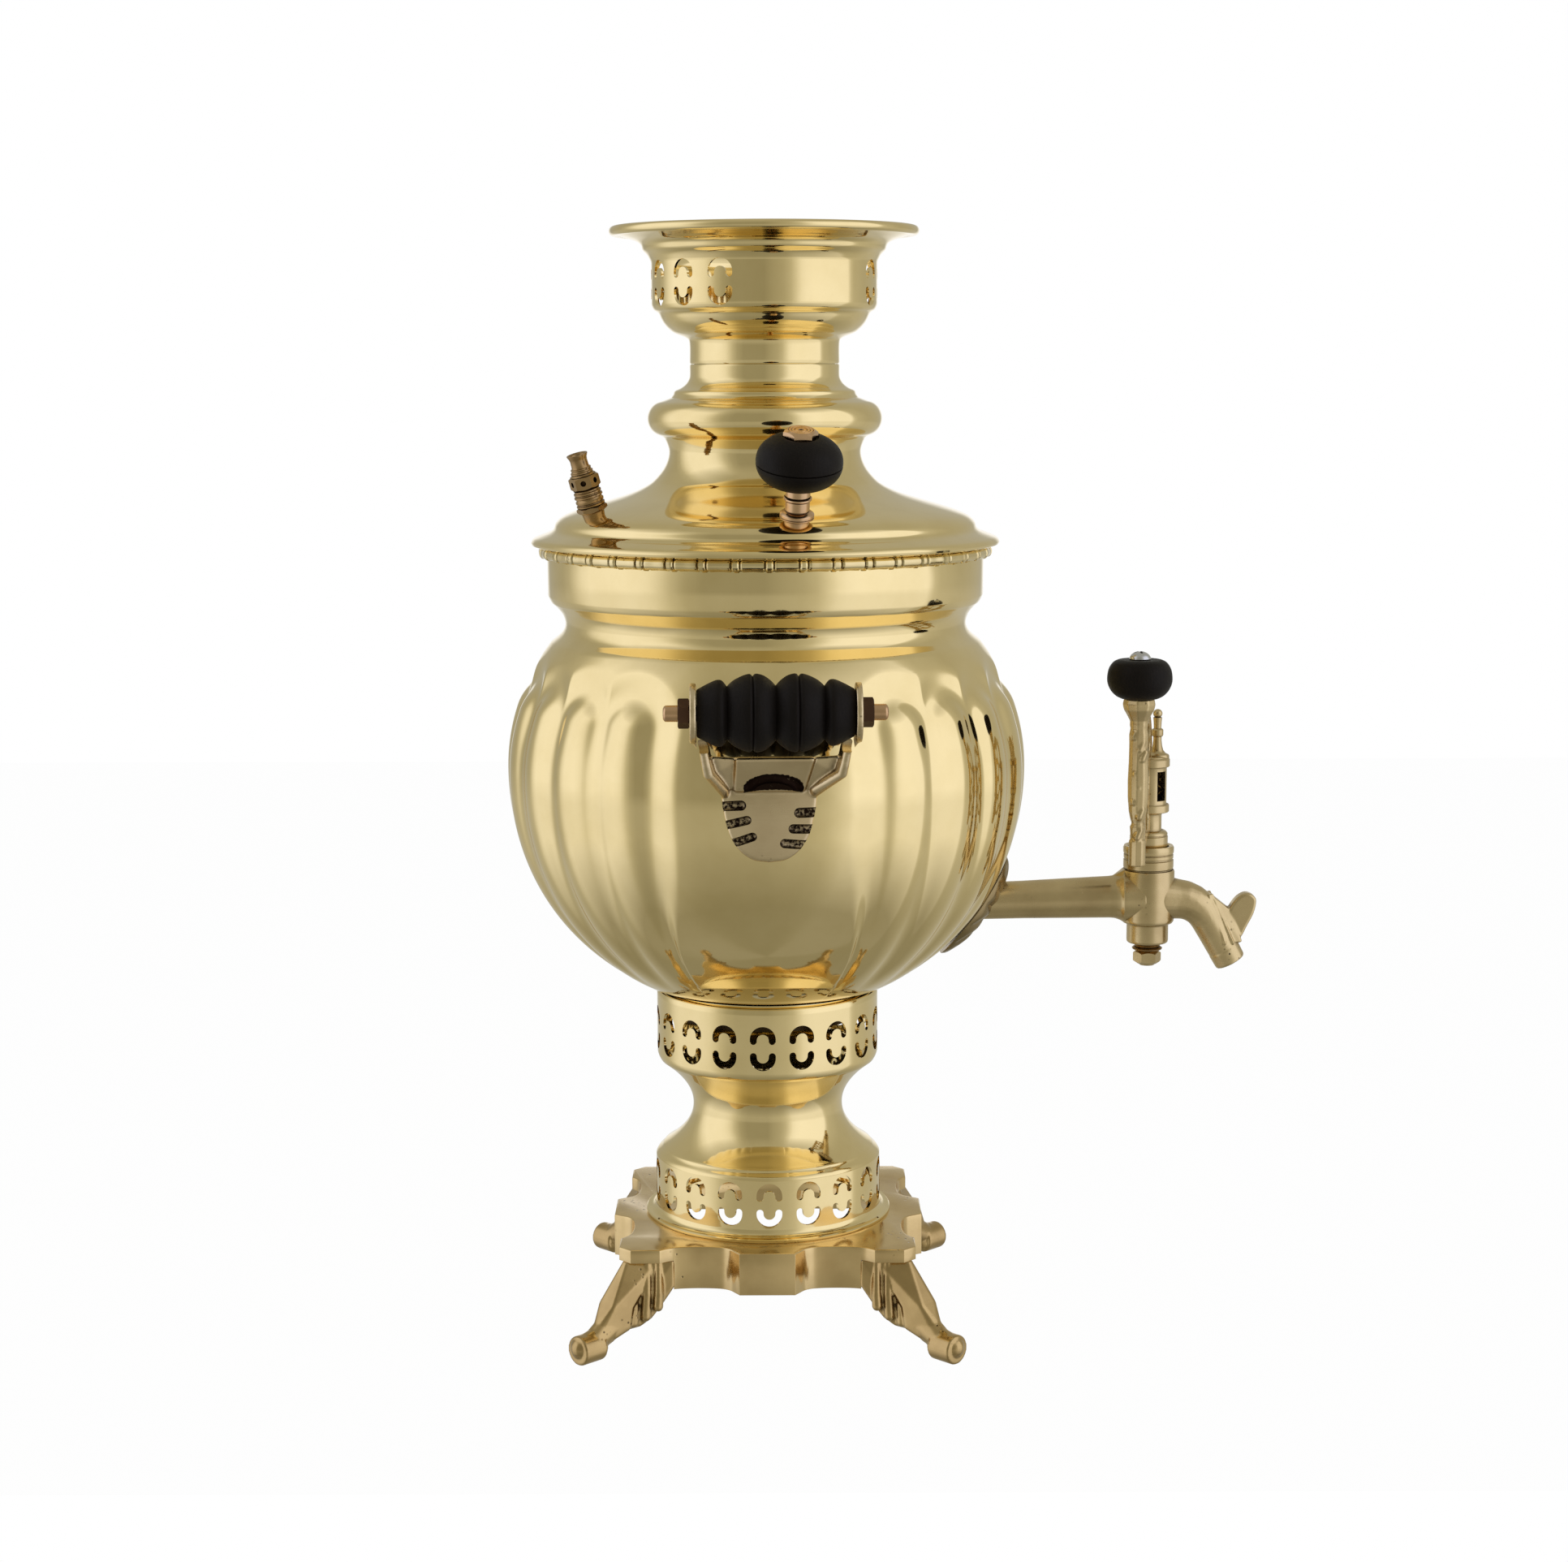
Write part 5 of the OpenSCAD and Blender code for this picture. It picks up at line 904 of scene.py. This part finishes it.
def nutPart(flats, high, bore, place, chamfer=0.35, marks=()):
    # a hexagon nut about the place's origin, its corners turned off and ring marks scored in its top
    corner = flats / 2 / cos(pi / 6)
    bm = bmesh.new()
    outline = regularOutline(6, flats)
    rings = []
    for z, k in ((-high / 2, 0), (high / 2, 0)):
        rings.append([bm.verts.new((x * mm, y * mm, z * mm)) for x, y in outline])
    low = bm.faces.new(rings[0][::-1])
    top = bm.faces.new(rings[1])
    for i in range(6):
        bm.faces.new((rings[0][i], rings[0][(i + 1) % 6], rings[1][(i + 1) % 6], rings[1][i]))
    bmesh.ops.recalc_face_normals(bm, faces=bm.faces)
    obj = makeObject("spare", bm)
    tool = obj.modifiers.new("corners", "BOOLEAN")
    # the lathe runs past the nut's ends by over, so that no face of one lies in a face of the other
    over, slope = 0.3, (2 * chamfer + 0.3) / (1.6 * chamfer)
    end, tip = high / 2 + over, corner - 2 * chamfer - over * slope
    cone = [(0, -end), (tip, -end), (corner + 0.3, -high / 2 + 1.6 * chamfer),
            (corner + 0.3, high / 2 - 1.6 * chamfer), (tip, end)]
    for r in marks:
        cone += [(r + 0.2 + over, end), (r, high / 2 - 0.2), (r - 0.2 - over, end)]
    cone.append((0, end))
    lathe = makeObject("spareLathe", spin(cone, 64))
    tool.operation, tool.solver, tool.object = "INTERSECT", "EXACT", lathe
    applyModifiers(obj)
    bpy.data.objects.remove(lathe)
    cutAway(obj, rodPiece(bore, -high, high, Matrix.Identity(4), 40))
    return turnInto(takeMesh(obj), place)


makeHandle("Front", 0)
makeHandle("Back", 1)
print("handles made")

# ---------- lid fittings

fitting = {"reach": 82.0, "foot": 346.0, "lean": 17.0, "knobTurn": -81.0, "ventTurn": -147.0, "stem": 13.6,
           "knobR": 17.1, "knobHigh": 20.8, "nutHigh": 3.6, "nutAcross": 12.0, "stud": 2.5}


def onLid(turn, up=0.0):
    place = standingOn(fitting["reach"] * cos(radians(turn)), fitting["reach"] * sin(radians(turn)), fitting["foot"],
                       fitting["lean"], turn)
    return place @ Matrix.Translation((0, 0, up * mm))


def turned(name, outline, place, steps=96, sharp=32, closed=False):
    return makeObject(name, turnInto(spin(outline, steps, closed), place), sharp)


def knobOutline(radius, high, bore, power, groove):
    # a flattened ball with level ends; groove: how far below its middle a scored line runs
    top = 66
    scale = high / 2 / sin(radians(top)) ** (2 / power)
    line = []
    for i in range(61):
        a = radians(-top + 2 * top * i / 60)
        z = (1 if a > 0 else -1) * scale * abs(sin(a)) ** (2 / power)
        line.append((radius * cos(a) ** (2 / power), z))
    low = [p for p in line if p[1] < -groove - 0.45]
    rest = [p for p in line if p[1] > -groove + 0.45]
    line = low + [(radius - 0.05, -groove - 0.3), (radius - 0.6, -groove), (radius - 0.02, -groove + 0.3)] + rest
    # the nut sits in a shallow recess in its top
    return [(bore, -high / 2)] + line + [(7.2, high / 2), (7.2, high / 2 - 0.9), (bore, high / 2 - 0.9)]


stemLine = [(0, -6), (2.5, -6), (2.5, -1.5), (4.7, -1.5), (4.95, -1.2), (4.95, 1.1), (4.7, 1.4), (5.9, 1.5), (6.6, 1.8),
            (6.8, 2.05), (6.8, 2.35), (6.55, 2.5), (6.55, 2.65), (6.8, 2.8), (6.8, 3.6), (6.6, 3.9), (5.7, 4.6),
            (4.6, 5.0), (4.6, 5.25), (4.85, 5.4), (4.85, 9.0), (4.45, 9.15), (4.45, 9.4), (5.4, 9.5), (5.6, 9.75),
            (5.6, 10.4), (5.35, 10.65), (4.45, 10.7), (4.45, 11.0), (4.9, 11.15), (4.9, 14.45), (2.5, 14.5),
            (2.5, 37.7), (2.2, 38.0), (1.1, 38.0), (0.8, 37.2), (0, 37.1)]
for side, turn in (("Front", fitting["knobTurn"]), ("Back", fitting["knobTurn"] + 180)):
    end = "_" + side.lower()
    finishPiece(turned("lidStem" + side, stemLine, onLid(turn)), turnedBrass, "lid", "turned_brass", "lid_stem" + end)
    line = knobOutline(fitting["knobR"], fitting["knobHigh"], fitting["stud"] + 0.1, 2.2, 0.8)
    knobPlace = onLid(turn, fitting["stem"] + 0.9 + fitting["knobHigh"] / 2)
    finishPiece(turned("lidKnob" + side, line, knobPlace, 128, 40, True), blackWood, "lid", "black_wood",
                "lid_knob" + end)
    nutUp = fitting["stem"] + fitting["knobHigh"] + fitting["nutHigh"] / 2
    nut = nutPart(fitting["nutAcross"], fitting["nutHigh"], fitting["stud"] + 0.1,
                  onLid(turn, nutUp) @ Matrix.Rotation(pi / 6, 4, "Z"), 0.8, marks=(4.9, 3.7))
    finishPiece(makeObject("lidKnobNut" + side, nut, 26), turnedBrass, "lid", "turned_brass", "lid_knob_nut" + end)
print("lid knobs made")

vent = {"hexAcross": 11.1, "baseHex": (2.9, 5.4), "capHex": (12.6, 18.3), "turn": 25.0, "holeR": 1.15, "holeZ": 15.6}
ventPlace = onLid(fitting["ventTurn"]) @ Matrix.Rotation(radians(vent["turn"]), 4, "Z")
baseLine = [(1.6, -5), (3.0, -5), (3.0, -1.5), (4.1, -1.5), (4.7, 2.7), (5.0, 3.0), (5.0, 5.3), (5.75, 5.6),
            (5.85, 6.2), (5.4, 6.5), (5.3, 6.8), (5.7, 7.1), (5.8, 7.9), (5.4, 8.3), (5.2, 8.9), (3.0, 8.95),
            (3.0, 17.6), (1.6, 17.6)]
parts = [turnInto(spin(baseLine, 64, closed=True), ventPlace),
         nutPart(vent["hexAcross"], vent["baseHex"][1] - vent["baseHex"][0], 4.5,
                 ventPlace @ Matrix.Translation((0, 0, sum(vent["baseHex"]) / 2 * mm)), 0.6)]
finishPiece(makeObject("ventBase", merge(parts), 30), agedBronze, "lid", "dark_bronze", "vent_base")
capLine = [(3.05, 9.05), (5.5, 9.05), (5.85, 9.3), (5.8, 9.9), (5.35, 10.2), (5.3, 10.5), (5.65, 10.8), (5.65, 11.4),
           (5.2, 11.7), (5.1, 12.2), (5.4, 12.5), (4.1, 12.6), (4.1, 18.2), (5.3, 18.3), (4.7, 18.7),
           (4.35, 19.1), (4.6, 19.3), (4.6, 19.8), (4.25, 20.0), (3.95, 20.6), (4.2, 20.8), (4.2, 21.2), (3.75, 21.4),
           (3.55, 22.0), (3.5, 24.4), (3.7, 25.4), (4.3, 26.7), (4.3, 26.95), (4.0, 27.0), (3.0, 26.4), (2.5, 25.0),
           (2.5, 20.6), (3.05, 20.4)]
hexLow, hexHigh = vent["capHex"]
hexMiddle = (hexLow + hexHigh) / 2
hexPart = makeObject("spare", nutPart(vent["hexAcross"] - 0.2, hexHigh - hexLow, 4.0, Matrix.Identity(4), 0.7), 26)
for k in range(3):
    hole = Matrix.Rotation(radians(60 * k), 4, "Z") @ Matrix.Rotation(pi / 2, 4, "Y")
    hole = (Matrix.Translation((0, 0, (vent["holeZ"] - hexMiddle) * mm)) @ Matrix.Rotation(pi / 6, 4, "Z")
            @ hole)
    cutAway(hexPart, rodPiece(vent["holeR"], -8, 8, hole, 24), 26)
parts = [turnInto(spin(capLine, 64, closed=True), ventPlace),
         turnInto(takeMesh(hexPart), ventPlace @ Matrix.Translation((0, 0, hexMiddle * mm)))]
finishPiece(makeObject("ventCap", merge(parts), 30), agedBronze, "vent_cap", "dark_bronze", "vent_cap")
print("vent made")

# ---------- bead band: long bamboo-like segments with a pair of ridges at each joint

band = {"mid": 93.55, "halfWide": 1.62, "halfHigh": 2.15, "z": 329.9, "count": 44, "fine": 30, "ridge": 0.22,
        "groove": 0.80, "swell": 0.15}
line = arcPoints(band["mid"], band["z"], band["halfWide"], band["halfHigh"], 0, 360, 16)[:-1]
bm = spin(line, band["count"] * band["fine"], closed=True)
for vert in bm.verts:
    x, y, z = (c / mm for c in vert.co)
    radius = hypot(x, y)
    share = (degrees(atan2(y, x)) / 360 * band["count"]) % 1
    # a short ring between two grooves, then a long barrel with a slight waist
    ridge = smoothStep((0.14 - abs(share - 0.17)) / 0.06)
    groove = sum(max(0.0, 1 - abs(share - at) / 0.05) for at in (0.04, 0.30))
    waist = 1 - smoothStep(abs(share - 0.66) / 0.34)
    rise = band["ridge"] * ridge - band["groove"] * groove - band["swell"] * waist
    away = Vector((radius - band["mid"], z - band["z"]))
    away *= 1 + rise / away.length if away.x > -0.2 else 1.0
    k = (band["mid"] + away.x) / radius
    vert.co = (x * k * mm, y * k * mm, (band["z"] + away.y) * mm)
finishPiece(makeObject("beadBand", bm, 40), bandBrass, "urn", "cast_brass", "bead_band")
print("bead band made")

# ---------- tap

tap = {"x": 163.6, "z": 180.8, "bore": 5.65, "flow": 4.6, "bend": 15.0, "bendX": 175.5, "bendTop": 179.8, "turn": 61.0,
       "tilt": 1.65}
tapAxis = Matrix.Translation((tap["x"] * mm, 0, 0))
spoutEnd = (tap["bendX"] + tap["bend"] * sin(radians(tap["turn"])),
            tap["bendTop"] - tap["bend"] * (1 - cos(radians(tap["turn"]))))
spoutPlace = (Matrix.Translation((spoutEnd[0] * mm, 0, spoutEnd[1] * mm))
              @ Matrix.Rotation(radians(90 + tap["turn"]), 4, "Y"))


def tapCasting():
    # the tube rises a little towards the housing
    tubeLine = [(0, -60.0), (7.9, -60.0), (8.1, -40.0), (8.6, -20.0), (9.0, -3.0), (9.3, -0.6), (10.0, 1.2),
                (11.0, 2.6), (11.2, 12.0), (0, 12.0)]
    tubePlace = (Matrix.Translation((150 * mm, 0, tap["z"] * mm)) @ Matrix.Rotation(radians(-tap["tilt"]), 4, "Y")
                 @ Matrix.Rotation(pi / 2, 4, "Y"))
    parts = [turnInto(spin(tubeLine, 48), tubePlace)]
    parts.append(rodPiece(7.2, 66.0, 92.0, alongX(Matrix.Identity(4), 0, 0, tap["z"]), 48))
    for up, far in ((1, 11.6), (-1, 9.6)):
        # the fillets between tube and housing
        parts.append(ballHull((148.4, 0, tap["z"] + up * 8.0, 1.0), (153.6, 3.0, tap["z"] + up * far, 0.8),
                              (153.6, -3.0, tap["z"] + up * far, 0.8), (156.0, 5.0, tap["z"] + up * 6, 1.0),
                              (156.0, -5.0, tap["z"] + up * 6, 1.0), (150.0, 4.0, tap["z"] + up * 6, 1.0),
                              (150.0, -4.0, tap["z"] + up * 6, 1.0)))
    path = [(168.0, 180.4, 9.8), (173.4, 180.0, 8.9)]
    for a, r in ((90, 8.6), (76, 8.3), (62, 8.0), (48, 7.7), (38, 7.5), (29, 7.35)):
        path.append((tap["bendX"] + tap["bend"] * cos(radians(a)),
                     tap["bendTop"] - tap["bend"] * (1 - sin(radians(a))), r))
    parts += ballChain(*[(x, 0, z, r) for x, z, r in path], fine=32)
    endLine = [(0, -2), (7.35, -2), (7.0, 7.0), (6.8, 15.6), (6.6, 16.0), (6.9, 16.4), (6.7, 22.0), (6.4, 22.6),
               (0, 22.6)]
    parts.append(turnInto(spin(endLine, 48), spoutPlace))
    # the web behind the spout with its two ridges, and the leaf-shaped lug
    parts.append(ballHull((189.6, 3.6, 181.6, 0.9), (189.6, -3.6, 181.6, 0.9), (198.4, 2.2, 174.6, 0.9),
                          (198.4, -2.2, 174.6, 0.9), (203.0, 3.6, 162.0, 0.8), (203.0, -3.6, 162.0, 0.8),
                          (196.0, 5.2, 162.0, 0.8), (196.0, -5.2, 162.0, 0.8), (186.0, 3.0, 176.0, 0.9),
                          (186.0, -3.0, 176.0, 0.9)))
    for s in (1, -1):
        parts.append(ballHull((189.2, s * 4.4, 181.9, 0.6), (196.2, s * 6.9, 161.4, 0.5), (193.0, s * 2.0, 168.0, 0.8)))
        parts.append(ballHull((190.6, s * 3.6, 182.2, 0.6), (199.9, s * 5.9, 161.2, 0.5), (196.0, s * 2.0, 168.0, 0.8)))
    lug = [(198.0, 174.9), (199.4, 177.8), (201.8, 180.7), (204.7, 182.4), (207.4, 182.2), (209.4, 180.6),
           (209.9, 178.4), (208.8, 173.6), (206.0, 168.0), (203.6, 163.4), (200.0, 161.8), (196.0, 166.0)]
    leaf = plate(smoothLine(lug + [lug[0]], 4)[:-1], -3.2, 3.2, 1.0, 3)
    parts.append(turnInto(leaf, Matrix.Rotation(pi / 2, 4, "X")))
    whole = merge(parts)
    bmesh.ops.recalc_face_normals(whole, faces=whole.faces)
    return skin(makeObject("tapBody", whole), 0.4, 4)


tapBody = tapCasting()
for cutter in (rodPiece(tap["bore"], 150, 210, tapAxis, 64),
               rodPiece(tap["flow"], 60.0, tap["x"], alongX(Matrix.Identity(4), 0, 0, tap["z"]), 32),
               rodPiece(tap["flow"], -10.0, 30.0, spoutPlace, 32)):
    cutAway(tapBody, cutter, 40)
housing = [(tap["bore"], 161.0), (8.3, 161.0), (8.75, 161.4), (8.9, 162.2), (8.9, 168.6), (9.1, 169.2), (10.6, 169.8),
           (11.1, 170.6), (11.2, 171.6), (11.2, 192.0), (10.9, 192.7), (10.25, 192.9), (10.25, 193.3), (10.6, 193.6),
           (10.7, 194.2), (10.7, 197.0), (10.3, 197.3), (10.3, 197.8), (10.6, 198.0), (10.6, 199.3), (10.35, 199.5),
           (10.35, 199.8), (10.7, 200.1), (10.8, 200.8), (10.8, 202.4), (10.4, 203.2), (9.2, 203.2), (8.7, 202.8),
           (8.6, 200.2), (tap["bore"], 200.2)]
joinTo(tapBody, turnInto(spin(housing, 128, closed=True), tapAxis), 38)
finishPiece(tapBody, paleBrass, "urn", "pale_cast_brass", "tap_body")

# the leaf where the tap meets the belly: a thin crown with twisted gadroons that run out to its edge
leaf = {"x": 90.2, "z": 176.5, "slope": 36.8, "halfLong": 25.2, "halfWide": 18.0, "thick": 4.6, "gap": 0.15,
        "gadroons": 13}
rhos = [i / 24 for i in range(25)]
line = [(rho, 1.0) for rho in rhos] + [(1.0, 0.5)] + [(rho, 0.0) for rho in (1.0, 0.75, 0.5, 0.25, 0.0)]
bm = spin(line, 252)
slope = radians(leaf["slope"])
normal, upward = Vector((cos(slope), 0, -sin(slope))), Vector((sin(slope), 0, cos(slope)))
middle = Vector((leaf["x"], 0, leaf["z"]))
for vert in bm.verts:
    x, y, side = (c / mm for c in vert.co)
    rho, theta = min(1.0, hypot(x, y)), atan2(y, x)
    point = middle + upward * (x * leaf["halfLong"]) + Vector((0, 1, 0)) * (y * leaf["halfWide"] * (1 - 0.12 * x))
    for _ in range(4):
        short = bellyRadius(min(max(point.z, 136), 300)) + leaf["gap"] - hypot(point.x, point.y)
        point = point + normal * (short / cos(slope))
    crown = leaf["thick"] * (1 - rho ** 2.4) ** 0.6 + 0.3
    twist = ((abs(sin(leaf["gadroons"] / 2 * theta + 2.6 * rho)) - 0.5) * 1.5
             * smoothStep((rho - 0.35) / 0.3) * (1 - rho ** 8))
    vert.co = (point + normal * (side * (crown + twist))) * mm
bmesh.ops.recalc_face_normals(bm, faces=bm.faces)
finishPiece(makeObject("tapLeaf", bm, 50), leafBronze, "urn", "pale_cast_brass", "tap_escutcheon")
print("tap made")

# ---------- plug and key

plugLine = [(0, 151.0), (3.1, 151.0), (3.4, 151.4), (3.4, 161.6), (5.6, 161.6), (5.6, 200.25), (7.9, 200.25),
            (8.1, 200.6), (8.1, 207.3), (7.75, 207.6), (7.75, 207.9), (8.0, 208.1), (7.9, 208.7), (7.2, 209.5),
            (6.6, 209.8), (5.5, 209.85), (5.3, 210.2), (5.3, 216.4), (5.6, 217.2), (6.2, 217.7), (8.1, 217.8),
            (8.4, 218.1), (8.4, 220.8), (8.1, 221.15), (7.4, 221.2), (7.2, 221.5), (7.2, 237.0), (7.4, 237.3),
            (8.2, 237.35), (8.45, 237.7), (8.45, 240.4), (8.1, 240.9), (7.4, 241.2), (7.2, 241.6), (6.7, 241.9),
            (0, 242.0)]
finialLine = [(0, 240.0), (5.0, 240.0), (5.2, 241.2), (5.1, 242.0), (4.9, 242.4), (3.6, 243.0), (2.6, 244.2),
              (2.1, 246.0), (1.8, 248.4), (1.8, 249.9), (2.3, 250.3), (2.5, 250.8), (2.5, 252.9), (2.2, 253.3),
              (1.6, 253.6), (1.7, 256.0), (1.9, 258.2)] + arcPoints(0, 259.9, 2.0, 1.9, -50, 90, 14)
plugTop = {"finialX": 3.0, "windowTurn": -51.0, "windowHalf": 2.4, "low": 223.0, "high": 235.6, "chamber": 5.6}
plug = makeObject("tapPlug", turnInto(spin(plugLine, 96), tapAxis), 34)
windowCut = turnInto(plate([(-10, -plugTop["windowHalf"]), (10, -plugTop["windowHalf"]), (10, plugTop["windowHalf"]),
                            (-10, plugTop["windowHalf"])], plugTop["low"], plugTop["high"]),
                     tapAxis @ Matrix.Rotation(radians(plugTop["windowTurn"]), 4, "Z"))
waterWay = rodPiece(3.6, -12, 12, alongX(tapAxis, 0, 0, tap["z"]), 32)
for cutter in (rodPiece(plugTop["chamber"], plugTop["low"], plugTop["high"], tapAxis, 48), windowCut, waterWay):
    cutAway(plug, cutter, 34)
finial = turnInto(spin(finialLine, 48), tapAxis @ Matrix.Translation((plugTop["finialX"] * mm, 0, 0)))
joinTo(plug, finial, 34)
# painted shade: the inside of the plug's chamber, seen through its window, is marked to be darkened
marks = plug.data.attributes.new("recessShade", "FLOAT", "POINT")
for vert in plug.data.vertices:
    x, y, z = (c / mm for c in vert.co)
    inside = hypot(x - tap["x"], y) < plugTop["chamber"] + 0.2 and plugTop["low"] - 0.1 < z < plugTop["high"] + 0.1
    marks.data[vert.index].value = 0.7 if inside else 0.0
finishPiece(plug, paleBrass, "tap_key", "pale_cast_brass", "tap_plug")

key = {"turn": 14.0, "foot": 200.2, "stalk": 41.2, "thick": 2.4, "knobLow": 71.0, "knobR": 13.35, "knobHigh": 16.0}
keyPlace = (Matrix.Translation((tap["x"] * mm, 0, key["foot"] * mm))
            @ Matrix.Rotation(radians(-90 - key["turn"]), 4, "Z"))
stalkPlace = keyPlace @ Matrix.Translation((key["stalk"] * mm, 0, 0))
# the openwork, flat in the key's own upright plane, with its pierced rounds
branchLine = ([(5.4, 10.2), (5.4, 17.0), (9.2, 18.6), (9.2, 40.0), (4.8, 45.0), (3.2, 46.2)]
              + smoothLine([(2.8, 47.6), (7, 57), (15, 63), (25, 65), (38.4, 59)], 5)
              + smoothLine([(38.6, 6), (37.4, 1.5), (33.4, 6.6), (24.4, 5.4), (12, 9.6)], 5))
branchRounds = [(18, 50, 7.6), (31, 52, 4.2), (18, 33, 6.6), (31, 39, 4.8), (30, 26, 5.0), (17.5, 17.5, 5.2),
                (29.5, 13, 4.4)]
upright = Matrix.Rotation(pi / 2, 4, "X")
branch = makeObject("keyBranch", turnInto(plate(branchLine, -key["thick"] / 2, key["thick"] / 2), upright))
for u, v, r in branchRounds:
    cutAway(branch, rodPiece(r, -5, 5, Matrix.Translation((u * mm, 0, v * mm)) @ upright, 40))
stalkLine = [(0, 1.2), (3.4, 1.2), (3.6, 1.6), (3.6, 11.8), (3.1, 12.4), (2.7, 12.9), (3.0, 13.4), (3.3, 17.8),
             (2.8, 18.4), (2.6, 19.2), (3.2, 21.0), (3.8, 24.0), (4.3, 30.0), (4.4, 37.0), (4.1, 44.0), (4.0, 52.0),
             (4.1, 56.0), (3.6, 58.5), (3.9, 60.0), (3.8, 61.6), (4.8, 63.6), (6.4, 66.4), (6.9, 68.6), (6.4, 70.95),
             (0, 70.95)]
openwork = takeMesh(branch)
stalk = turnInto(spin(stalkLine, 9), Matrix.Translation((key["stalk"] * mm, 0, 0)))
warts = [ballHull((key["stalk"] + 3.0, y, v, 1.4), (key["stalk"] + 2.2, y + 1.2, v + 3.0, 1.2), fine=12)
         for y, v in ((-1.6, 55), (0.8, 50), (1.8, 46), (-0.6, 40), (0.4, 34), (-1.4, 28), (0.9, 22), (0.2, 13.5))]
branch = skin(makeObject("keyBranch", merge([openwork, stalk] + warts)), 0.4, 3)
cutAway(branch, rodPiece(2.0, 60, 75, Matrix.Translation((key["stalk"] * mm, 0, 0)), 32), 40)
branch.data.transform(keyPlace)
finishPiece(branch, paleBrass, "tap_key", "pale_cast_brass", "key_branch")
keyKnobLine = smoothLine([(7.6, -8.0), (9.6, -7.0), (11.5, -5.2), (12.9, -2.6), (13.35, 0.2), (12.8, 3.9), (11.2, 6.6),
                          (9.2, 7.8), (7.6, 8.0)], 6)
knobPlace = stalkPlace @ Matrix.Translation((0, 0, (key["knobLow"] + key["knobHigh"] / 2) * mm))
keyKnob = turned("keyKnob", [(2.0, -8.0)] + keyKnobLine + [(2.0, 8.0)], knobPlace, 128, 40, True)
finishPiece(keyKnob, blackWood, "tap_key", "black_wood", "key_knob")
screwPlace = stalkPlace @ Matrix.Translation((0, 0, (key["knobLow"] + key["knobHigh"]) * mm))
screwLine = [(0, -21), (1.8, -21), (1.8, 0), (4.2, 0), (4.5, 0.35)] + arcPoints(0, 0, 4.5, 3.4, 14, 90, 14)
screw = turned("keyScrew", screwLine, screwPlace, 64, 34)
for k in (0, 1):
    slot = plate([(-2.6, -0.5), (2.6, -0.5), (2.6, 0.5), (-2.6, 0.5)], 2.0, 5.0)
    cutAway(screw, turnInto(slot, screwPlace @ Matrix.Rotation(radians(24 + 90 * k), 4, "Z")), 34)
finishPiece(screw, brightSteel, "tap_key", "bright_steel", "key_knob_screw")
washerLine = [(3.5, 157.6), (5.6, 157.6), (6.3, 158.0), (6.5, 158.5), (6.0, 158.9), (5.3, 159.0), (5.5, 159.5),
              (5.2, 160.0), (5.5, 160.5), (5.3, 160.95), (3.5, 160.95)]
washer = turned("plugWasher", washerLine, tapAxis, 64, 32, True)
finishPiece(washer, agedBronze, "tap_key", "dark_bronze", "plug_washer")
plugNut = makeObject("plugNut", nutPart(10.4, 5.8, 3.5, tapAxis @ Matrix.Translation((0, 0, 154.6 * mm)), 0.9), 26)
finishPiece(plugNut, paleBrass, "tap_key", "pale_cast_brass", "plug_nut")
print("plug and key made")

# ---------- what stays as the frame has it: the hidden insides

for node, finish in {"fire_tube": sootyBrass, "grate": roughIron, "lid_stem_nuts": turnedBrass, "tap_gasket": fibre,
                     "tap_shank_nut": turnedBrass}.items():
    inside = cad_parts[node]
    if not inside.material_slots:
        inside.data.materials.append(finish)
    for slot in inside.material_slots:
        slot.material = finish
print("materials set on the other nodes")
